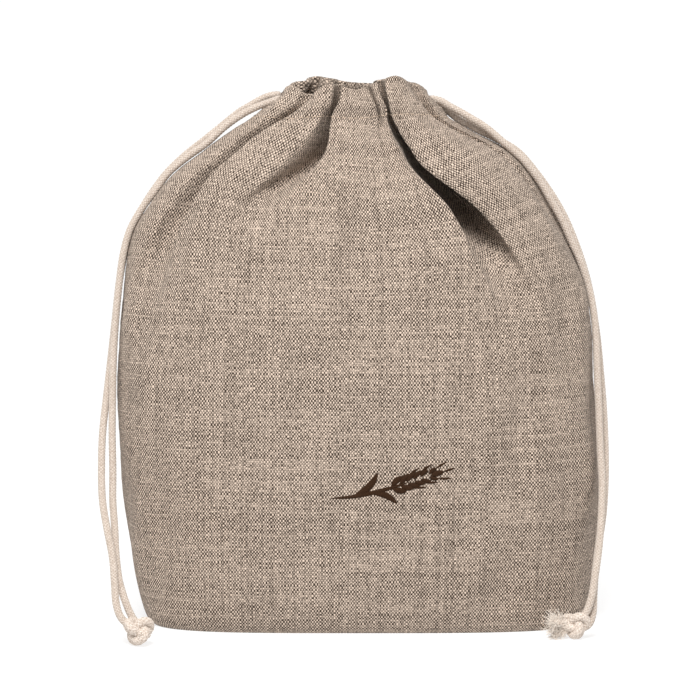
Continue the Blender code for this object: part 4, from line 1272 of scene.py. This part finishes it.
SPRIG_MIDDLE = (14.5, 79.5)       # x and z of the embroidered sprig, millimetres
SPRIG_REGION = (40.0, 130.0, -40.0, 70.0)      # z and then x, from and to
STEM = ((-29.0, -6.8), (-20.0, -6.2), (-10.0, -4.4), (0.0, -1.6), (9.0, 1.2), (17.0, 3.8),
        (23.5, 5.6))
STEM_POINTS, STEM_LAST = 60, 46   # the satin stem stops where the ear's top grain begins
STEM_PAD, AWN_PAD = (2.3, 0.50, 60), (1.15, 0.32, 18)            # width, height and steps
GRAIN_STEPS = 6
GRAIN_FROM, GRAIN_SPAN, GRAIN_SHRINK = 0.60, 0.36, 0.07          # shares of the stem
GRAIN_TURN, GRAIN_ASIDE, GRAIN_LENGTH, GRAIN_BEND = 27.0, 0.75, 7.4, 0.35
GRAIN_WIDTH, TOP_WIDTH, GRAIN_HEIGHT, GRAIN_POINTS = 3.3, 3.2, 0.62, 20
AWN_TURN, AWN_LENGTH, AWN_ROOT, AWN_BEND = 13.0, 6.5, 0.8, 0.3
TOP_AT = 0.985
TOP_GRAIN, TOP_AWN = (0.0, 3.4, 6.8), (6.2, 9.5, 13.0)           # millimetres past the stem
LEAF_HEIGHT, LEAF_POINTS = 0.5, 40
SATIN_SLANT, SATIN_PITCH, SATIN_RIDGE = 0.5, 0.46, 0.16
SATIN_ACROSS, SATIN_ENDS, SATIN_BLUNT = 7, (0.015, 0.985), 0.62
PAD_SUNK = 0.25                   # millimetres of a pad below the cloth
LEAVES = (                        # place on the stem, turn, length, width and bend
    (0.20, 36.0, 18.0, 3.8, -0.12), (0.38, -34.0, 15.0, 3.4, 0.14))


def satin_pad(curve, width, height, steps):
    """One satin-stitched shape on the flat: half width w sin(pi s)^SATIN_BLUNT, crown
    h sqrt(1 - t^2), with a ridge for each slanted stitch. Returns x, z and rise in metres."""
    s = np.linspace(0.0, 1.0, steps)
    t = np.linspace(-1.0, 1.0, SATIN_ACROSS)
    along = lengths_along(curve)
    middle = read_along(s * along[-1], along, curve)
    direction = unit(np.gradient(middle, axis=0))
    side = np.column_stack([-direction[:, 1], direction[:, 0]])
    half = width / 2 * np.clip(np.sin(math.pi * np.clip(s, *SATIN_ENDS)), 0, 1) ** SATIN_BLUNT
    flat = middle[:, None, :] + side[:, None, :] * (half[:, None] * t[None, :])[..., None]
    crown = np.sqrt(np.clip(1 - t ** 2, 0.0, 1.0))[None, :] * (half / half.max())[:, None] ** 0.5
    slanted = s[:, None] * along[-1] + SATIN_SLANT * half[:, None] * t[None, :]
    ridge = np.cos(2 * math.pi * slanted / SATIN_PITCH)
    rise = height * crown * (1.0 + SATIN_RIDGE * ridge)
    return flat[..., 0] * MM, flat[..., 1] * MM, rise * MM


def sprig_pads():
    """The sprig's shapes: a bent stem, paired grains with awns along the ear, and two leaves."""
    stem = np.array(STEM)
    t = np.linspace(0.0, 1.0, STEM_POINTS)
    along = lengths_along(stem)
    fine = np.column_stack([smooth_curve(t * along[-1], along, stem[:, k]) for k in (0, 1)])
    heading = unit(np.gradient(fine, axis=0))

    def piece(share):
        """The stem's point and heading at a share of its length."""
        i = int(round(share * (len(t) - 1)))
        return fine[i], heading[i]

    def turned(way, degrees):
        """A way turned anticlockwise."""
        a = math.radians(degrees)
        return np.array([way[0] * math.cos(a) - way[1] * math.sin(a),
                         way[0] * math.sin(a) + way[1] * math.cos(a)])

    pads = [(fine[:STEM_LAST], *STEM_PAD)]
    for step in range(GRAIN_STEPS):
        root, way = piece(GRAIN_FROM + GRAIN_SPAN * step / (GRAIN_STEPS - 1))
        size = 1.0 - GRAIN_SHRINK * step
        for side in (-1, 1):
            out = turned(way, side * GRAIN_TURN)
            begin = root + turned(way, side * 90.0) * GRAIN_ASIDE
            tip = begin + out * GRAIN_LENGTH * size
            bulge = turned(out, side * 90.0) * GRAIN_BEND
            pads.append((np.array([begin, (begin + tip) / 2 + bulge, tip]),
                         GRAIN_WIDTH * size, GRAIN_HEIGHT, GRAIN_POINTS))
            if step % 2 == 1:
                hair = tip + turned(way, side * AWN_TURN) * AWN_LENGTH
                pads.append((np.array([tip - out * AWN_ROOT, (tip + hair) / 2 + out * AWN_BEND, hair]),
                             *AWN_PAD))
    root, way = piece(TOP_AT)
    pads.append((np.array([root + way * reach for reach in TOP_GRAIN]),
                 TOP_WIDTH, GRAIN_HEIGHT, GRAIN_POINTS))
    pads.append((np.array([root + way * reach for reach in TOP_AWN]), *AWN_PAD))
    for share, angle, length, width, bend in LEAVES:
        root, way = piece(share)
        out = turned(way, angle)
        tip = root + out * length
        middle = root + out * length * 0.5 + turned(out, 90.0) * bend * length
        pads.append((smooth_three(root, middle, tip), width, LEAF_HEIGHT, LEAF_POINTS))
    return pads


def smooth_three(start, middle, stop):
    """A quadratic curve through three points, p = a (1-t)^2 + 2 b t (1-t) + c t^2."""
    t = np.linspace(0.0, 1.0, 14)[:, None]
    control = 2 * middle - (start + stop) / 2
    return start * (1 - t) ** 2 + 2 * control * t * (1 - t) + stop * t ** 2


def make_sprig(surface):
    """Lays every satin shape on the cloth as a closed pad whose underside is just below it."""
    front = FrontCloth(surface, *SPRIG_REGION)
    points, faces, start = [], [], 0
    for curve, width, height, steps in sprig_pads():
        x, z, rise = satin_pad(curve, width, height, steps)
        x, z = x + SPRIG_MIDDLE[0] * MM, z + SPRIG_MIDDLE[1] * MM
        base, normal = front.at(x, z)
        top = base + normal * rise[..., None]
        low = base - normal * PAD_SUNK * MM
        number, across = x.shape
        here = np.arange(number * across).reshape(number, across) + start
        under = here + number * across
        for grid, flip in ((here, False), (under, True)):
            faces.append(cell_corners(grid).reshape(-1, 4)[:, ::(-1 if flip else 1)])
        edge = np.concatenate([here[:-1, 0], here[-1, :-1], here[:0:-1, -1], here[0, :0:-1]])
        below = edge + number * across
        faces.append(np.stack([edge, np.roll(edge, -1), np.roll(below, -1), below], axis=-1))
        points += [top.reshape(-1, 3), low.reshape(-1, 3)]
        start += 2 * number * across
    made = make_mesh("embroidered_sprig", np.vstack(points), np.concatenate(faces))
    outward_faces(made)
    return made


def outward_faces(made):
    """Turns every closed shell's faces outwards."""
    mesh = bmesh.new()
    mesh.from_mesh(made.data)
    bmesh.ops.recalc_face_normals(mesh, faces=mesh.faces)
    mesh.to_mesh(made.data)
    mesh.free()


# ---------------------------------------------------------------- knots and frayed ends
CORD_STEP = 0.45 * MM
CORD_SIDES, KNOT_SIDES, TAIL_SIDES = 32, 30, 26
KNOT_OVERLAP = 12                 # steps by which a knot's closed curve runs past its start

KNOT_COLUMNS = ("name", "middle", "size", "turns", "height", "strand", "apart")
KNOTS = (
    ("left", (-113.0, -80.4, 8.4), (6.2, 5.6, 4.8), (68.0, 8.0, 14.0), 1.4, 2.3, 1.6),
    ("right", (111.9, -62.8, 7.4), (6.6, 5.4, 4.4), (74.0, -6.0, -18.0), 1.4, 2.2, 1.5),
)
TAIL_COLUMNS = ("knot", "way", "length", "sag", "strand", "fray")
TAILS = (
    ("left", (0.80, -0.30, -0.10), 6.6, (0.0, 0.0, -0.8), 2.3, 0.22),
    ("left", (0.35, -0.80, -0.30), 6.2, (0.0, 0.0, -1.0), 2.3, 0.22),
    ("right", (-1.0, -0.16, 0.12), 12.6, (0.0, -1.2, 1.0), 2.5, 1.0),
    ("right", (-0.94, -0.05, -0.36), 12.6, (0.0, 0.4, -0.8), 2.5, 1.0),
)
PRESSED, LEAST_SHARE = 0.12, 0.4
KNOT_ABOVE = 0.2                  # millimetres from the floor to a knot's turns, before pressing
TAIL_LEAST = 2.2                  # millimetres from the floor to a tail's middle line
TUFT_HAIRS = 260
TUFT_YARNS = 150
TUFT_SEED = 5
YARN_RADIUS = 0.30 * MM
HAIR_RADIUS = 0.08 * MM
YARN_LENGTHS, HAIR_LENGTHS = (1.8, 3.7), (1.2, 3.4)              # millimetres
TUFT_FROM, TUFT_AIMED_FROM = 0.45, 0.6         # shares of the tail's points
TUFT_ON, TUFT_OUT, TUFT_LOOSE = 0.8, 0.7, 0.45                   # shares of a fibre's way


def above_floor(points, least):
    """Presses flat what lies below a least height: only PRESSED of its depth is left."""
    z = points[..., 2] - least
    points[..., 2] = np.maximum(least + np.where(z > 0, z, PRESSED * z), least * LEAST_SHARE)
    return points


def make_knot(row, cord):
    """Two strands tied together: twin trefoil tubes side by side, drawn into a ball."""
    knot = dict(zip(KNOT_COLUMNS, row))
    made = []
    for number, way in enumerate((-1, 1), 1):
        line = overhand_path(knot["middle"], knot["size"], knot["turns"], knot["height"])
        axis = overhand_path((0, 0, 0), (0, 0, 1000.0), knot["turns"], 1.0, 13)
        axis = unit(axis[np.argmax(np.linalg.norm(axis, axis=1))][None, :])[0]
        line = line + axis * way * knot["apart"] * MM
        line = above_floor(line, (knot["strand"] + KNOT_ABOVE) * MM)
        line = np.vstack([line[-KNOT_OVERLAP:-1], line, line[1:KNOT_OVERLAP]])
        made.append(braided_tube(f"{knot['name']}_knot_turn_{number}", line, knot["strand"] * MM,
                                 KNOT_SIDES, cord, axis))
    return made


def tail_path(knot_row, tail):
    """A tail's middle line from the knot's middle: way t + sag t^2."""
    knot = dict(zip(KNOT_COLUMNS, knot_row))
    t = np.linspace(0.0, 1.0, 40)[:, None]
    way = unit(np.array(tail["way"])[None, :])
    path = (np.array(knot["middle"]) + way * tail["length"] * t + np.array(tail["sag"]) * t * t) * MM
    return above_floor(path, TAIL_LEAST * MM)


def make_tuft(name, path, radius, seed, reach):
    """Frayed cotton at a cut end: curled yarns and fine hairs from the last part of the tail,
    rooted at random in its thickness and spreading outwards."""
    random = np.random.default_rng(seed)
    number, count = len(path), TUFT_YARNS + TUFT_HAIRS
    at = random.integers(int(number * TUFT_FROM), number, count)
    way = unit(path[-1] - path[int(number * TUFT_AIMED_FROM)])
    off = random.normal(0, 1, (count, 3))
    off = unit(off - (off @ way)[:, None] * way) * radius * np.sqrt(random.uniform(0.1, 1, (count, 1)))
    ways = unit(way * TUFT_ON + off / radius * TUFT_OUT + random.normal(0, TUFT_LOOSE, (count, 3)))
    yarn = np.arange(count) < TUFT_YARNS
    lengths = reach * np.where(yarn, random.uniform(*YARN_LENGTHS, count),
                               random.uniform(*HAIR_LENGTHS, count)) * MM
    return fibres(name, path[at] + off, ways, lengths, np.where(yarn, YARN_RADIUS, HAIR_RADIUS), seed)


# ---------------------------------------------------------------- the studio
CAMERA_PLACE = (-0.0048, -1.5, 0.30)
CAMERA_TILT = 84.06               # degrees from straight down
CAMERA_LENS = 144.9
SWEEP_FRONT, SWEEP_BACK, SWEEP_CURVE, SWEEP_TOP, SWEEP_HALF = -2.2, 1.6, 0.6, 2.4, 3.0
SKY_COLOUR = (1.0, 0.975, 0.948, 1.0)
PAPER_COLOURS = ((0.29, 0.29, 0.29, 1.0), (0.31, 0.31, 0.31, 1.0))
PAPER_GLOW = 0.74
KEY_PLACE, KEY_TURN, KEY_SIZE = (-0.15, -1.25, 1.75), (38.0, 0.0, -7.0), 1.0


def make_floor():
    """A pale sheet that lies flat under the bag and curves up behind it in a quarter circle."""
    turn = np.radians(np.linspace(0.0, 90.0, 25))
    curve = np.column_stack([SWEEP_BACK + SWEEP_CURVE * np.sin(turn),
                             SWEEP_CURVE * (1 - np.cos(turn))])
    profile = np.vstack([[SWEEP_FRONT, 0.0], curve, [SWEEP_BACK + SWEEP_CURVE, SWEEP_TOP]])
    points = np.array([(x, y, z) for x in (-SWEEP_HALF, SWEEP_HALF) for y, z in profile])
    number = len(profile)
    k = np.arange(number - 1)
    return make_mesh("studio_floor", points,
                     np.stack([k, number + k, number + k + 1, k + 1], axis=1))


def floor_material():
    """Matt white paper that glows a little, with a faint tooth."""
    made, tree, shader = new_material("studio_paper", 0.95, 0.0)
    haze = haze_at(tree, 60.0)
    tree.links.new(blend(tree, haze["Broad"], *PAPER_COLOURS), shader.inputs["Base Color"])
    shader.inputs["Emission Color"].default_value = (1.0, 1.0, 1.0, 1.0)
    shader.inputs["Emission Strength"].default_value = PAPER_GLOW
    return made


class BREADBAG_OT_studio(bpy.types.Operator):
    """Make the camera, the soft lamp, the even sky and the pale floor"""

    bl_idname = "bread_bag.studio"
    bl_label = "Studio"

    def execute(self, context):
        stage = context.scene.bread_bag_stage
        camera = bpy.data.objects.new("camera", bpy.data.cameras.new("camera"))
        context.scene.collection.objects.link(camera)
        camera.location = CAMERA_PLACE
        camera.rotation_euler = (math.radians(CAMERA_TILT), 0.0, 0.0)
        camera.data.lens = CAMERA_LENS
        camera.data.dof.use_dof = False
        context.scene.camera = camera
        lamp = bpy.data.objects.new("soft_lamp", bpy.data.lights.new("soft_lamp", "AREA"))
        context.scene.collection.objects.link(lamp)
        lamp.location = KEY_PLACE
        lamp.rotation_euler = [math.radians(a) for a in KEY_TURN]
        lamp.data.size, lamp.data.energy = KEY_SIZE, stage.key
        world = bpy.data.worlds.new("even_sky")
        world.use_nodes = True
        world.node_tree.nodes["Background"].inputs["Color"].default_value = SKY_COLOUR
        world.node_tree.nodes["Background"].inputs["Strength"].default_value = stage.sky
        context.scene.world = world
        context.scene.view_settings.view_transform = "Standard"
        floor = make_floor()
        floor.data.materials.append(floor_material())
        return {"FINISHED"}


# ---------------------------------------------------------------- the bag's operators
def finish_piece(piece, material, nodes=()):
    """Gives a piece its material, its body and the solids it stands for."""
    piece.data.materials.append(material)
    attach(piece, "root")
    if nodes:
        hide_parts(*nodes)
    return piece


class BREADBAG_OT_knots(bpy.types.Operator):
    """Tie the two knots and fray the cords' ends"""

    bl_idname = "bread_bag.knots"
    bl_label = "Knots"

    def execute(self, context):
        cord = context.scene.bread_bag_cord
        cotton = cotton_material("knot_cotton", cord.knot_colour, cord, True)
        loose = cotton_material("frayed_cotton", cord.frayed_colour, cord, False)
        for number, row in enumerate(KNOTS):
            side = row[0]
            turns = make_knot(row, cord)
            finish_piece(turns[0], cotton, (f"{side}_knot",))
            finish_piece(turns[1], cotton)
            for index, values in enumerate(t for t in TAILS if t[0] == side):
                tail = dict(zip(TAIL_COLUMNS, values))
                path = tail_path(row, tail)
                name = f"{side}_tail_{index + 1}"
                finish_piece(braided_tube(name, path, tail["strand"] * MM, TAIL_SIDES, cord), cotton)
                hairs = make_tuft(f"{name}_fray", path, tail["strand"] * MM,
                                  TUFT_SEED + 10 * number + index, tail["fray"])
                finish_piece(hairs, loose)
        return {"FINISHED"}


class BREADBAG_OT_cords(bpy.types.Operator):
    """Braid the four strands of the two drawstrings, from the hem's openings to the knots"""

    bl_idname = "bread_bag.cords"
    bl_label = "Cords"

    def execute(self, context):
        cord = context.scene.bread_bag_cord
        cotton = cotton_material("cord_cotton", cord.colour, cord, True)
        tied = set()
        for name, route, side in CORDS:
            ends = [o for o in context.scene.objects if o.name.startswith((f"{side}_knot_",
                                                                           f"{side}_tail_"))]
            if not ends:
                self.report({"ERROR"}, "make the knots first")
                return {"CANCELLED"}
            path = even_path(route, CORD_STEP)
            strand = braided_tube(f"{name}_braid", path, cord.diameter / 2, CORD_SIDES, cord)
            finish_piece(strand, cotton, (name,))
            tied.add(side)
        return {"FINISHED"}


class BREADBAG_OT_stitching(bpy.types.Operator):
    """Sew the hem's seam, one stitch after another round the neck"""

    bl_idname = "bread_bag.stitching"
    bl_label = "Hem stitching"

    def execute(self, context):
        trim = context.scene.bread_bag_trim
        outer, normal, _ = cloth_shape(context.scene.bread_bag_cloth)
        height = STITCH_HEIGHT + SEAM_ABOVE
        seam = stitch_line("hem_stitches", row_at(outer, height), row_at(normal, height),
                           trim.stitch_length, trim.stitch_radius)
        finish_piece(seam, thread_material("sewing_thread", trim.thread_colour, 0.7, 0.2, 0.2))
        return {"FINISHED"}


class BREADBAG_OT_embroidery(bpy.types.Operator):
    """Embroider the ear of wheat on the bag's front in padded satin stitch"""

    bl_idname = "bread_bag.embroidery"
    bl_label = "Embroidery"

    def execute(self, context):
        trim = context.scene.bread_bag_trim
        outer = cloth_shape(context.scene.bread_bag_cloth)[0]
        sprig = make_sprig(outer)
        finish_piece(sprig, thread_material("embroidery_thread", trim.embroidery_colour, 0.8, 0.0, 0.10))
        return {"FINISHED"}


class BREADBAG_OT_cloth(bpy.types.Operator):
    """Make the bag's one piece of cloth, with its folds, gathers, seams and hem"""

    bl_idname = "bread_bag.cloth"
    bl_label = "Cloth"

    def execute(self, context):
        cloth = context.scene.bread_bag_cloth
        bag = make_cloth(cloth)
        finish_piece(bag, linen_material(cloth), ("linen_bag",))
        return {"FINISHED"}


class BREADBAG_PT_panel(bpy.types.Panel):
    """Buttons that make the bag, and its settings"""

    bl_idname = "BREADBAG_PT_panel"
    bl_label = "Bread Bag"
    bl_space_type = "VIEW_3D"
    bl_region_type = "UI"
    bl_category = "Bread Bag"

    def draw(self, context):
        for operator in OPERATORS:
            self.layout.operator(operator.bl_idname)
        for holder in GROUPS:
            group_ = getattr(context.scene, holder)
            box = self.layout.box()
            for name in group_.bl_rna.properties.keys():
                if name not in ("rna_type", "name"):
                    box.prop(group_, name)


GROUPS = {"bread_bag_stage": StageSettings, "bread_bag_cord": CordSettings,
          "bread_bag_cloth": ClothSettings, "bread_bag_trim": TrimSettings}
OPERATORS = (BREADBAG_OT_studio, BREADBAG_OT_knots, BREADBAG_OT_cords, BREADBAG_OT_stitching,
             BREADBAG_OT_embroidery, BREADBAG_OT_cloth)
CLASSES = (*GROUPS.values(), *OPERATORS, BREADBAG_PT_panel)


def register():
    for item in CLASSES:
        bpy.utils.register_class(item)
    for name, kind in GROUPS.items():
        setattr(bpy.types.Scene, name, PointerProperty(type=kind))


def unregister():
    for name in GROUPS:
        delattr(bpy.types.Scene, name)
    for item in reversed(CLASSES):
        bpy.utils.unregister_class(item)


def main():
    register()
    for step in (bpy.ops.bread_bag.studio, bpy.ops.bread_bag.knots, bpy.ops.bread_bag.cords,
                 bpy.ops.bread_bag.stitching, bpy.ops.bread_bag.embroidery,
                 bpy.ops.bread_bag.cloth):
        if step() != {"FINISHED"}:
            raise RuntimeError("a step of the bag could not finish")


if __name__ == "__main__":
    main()
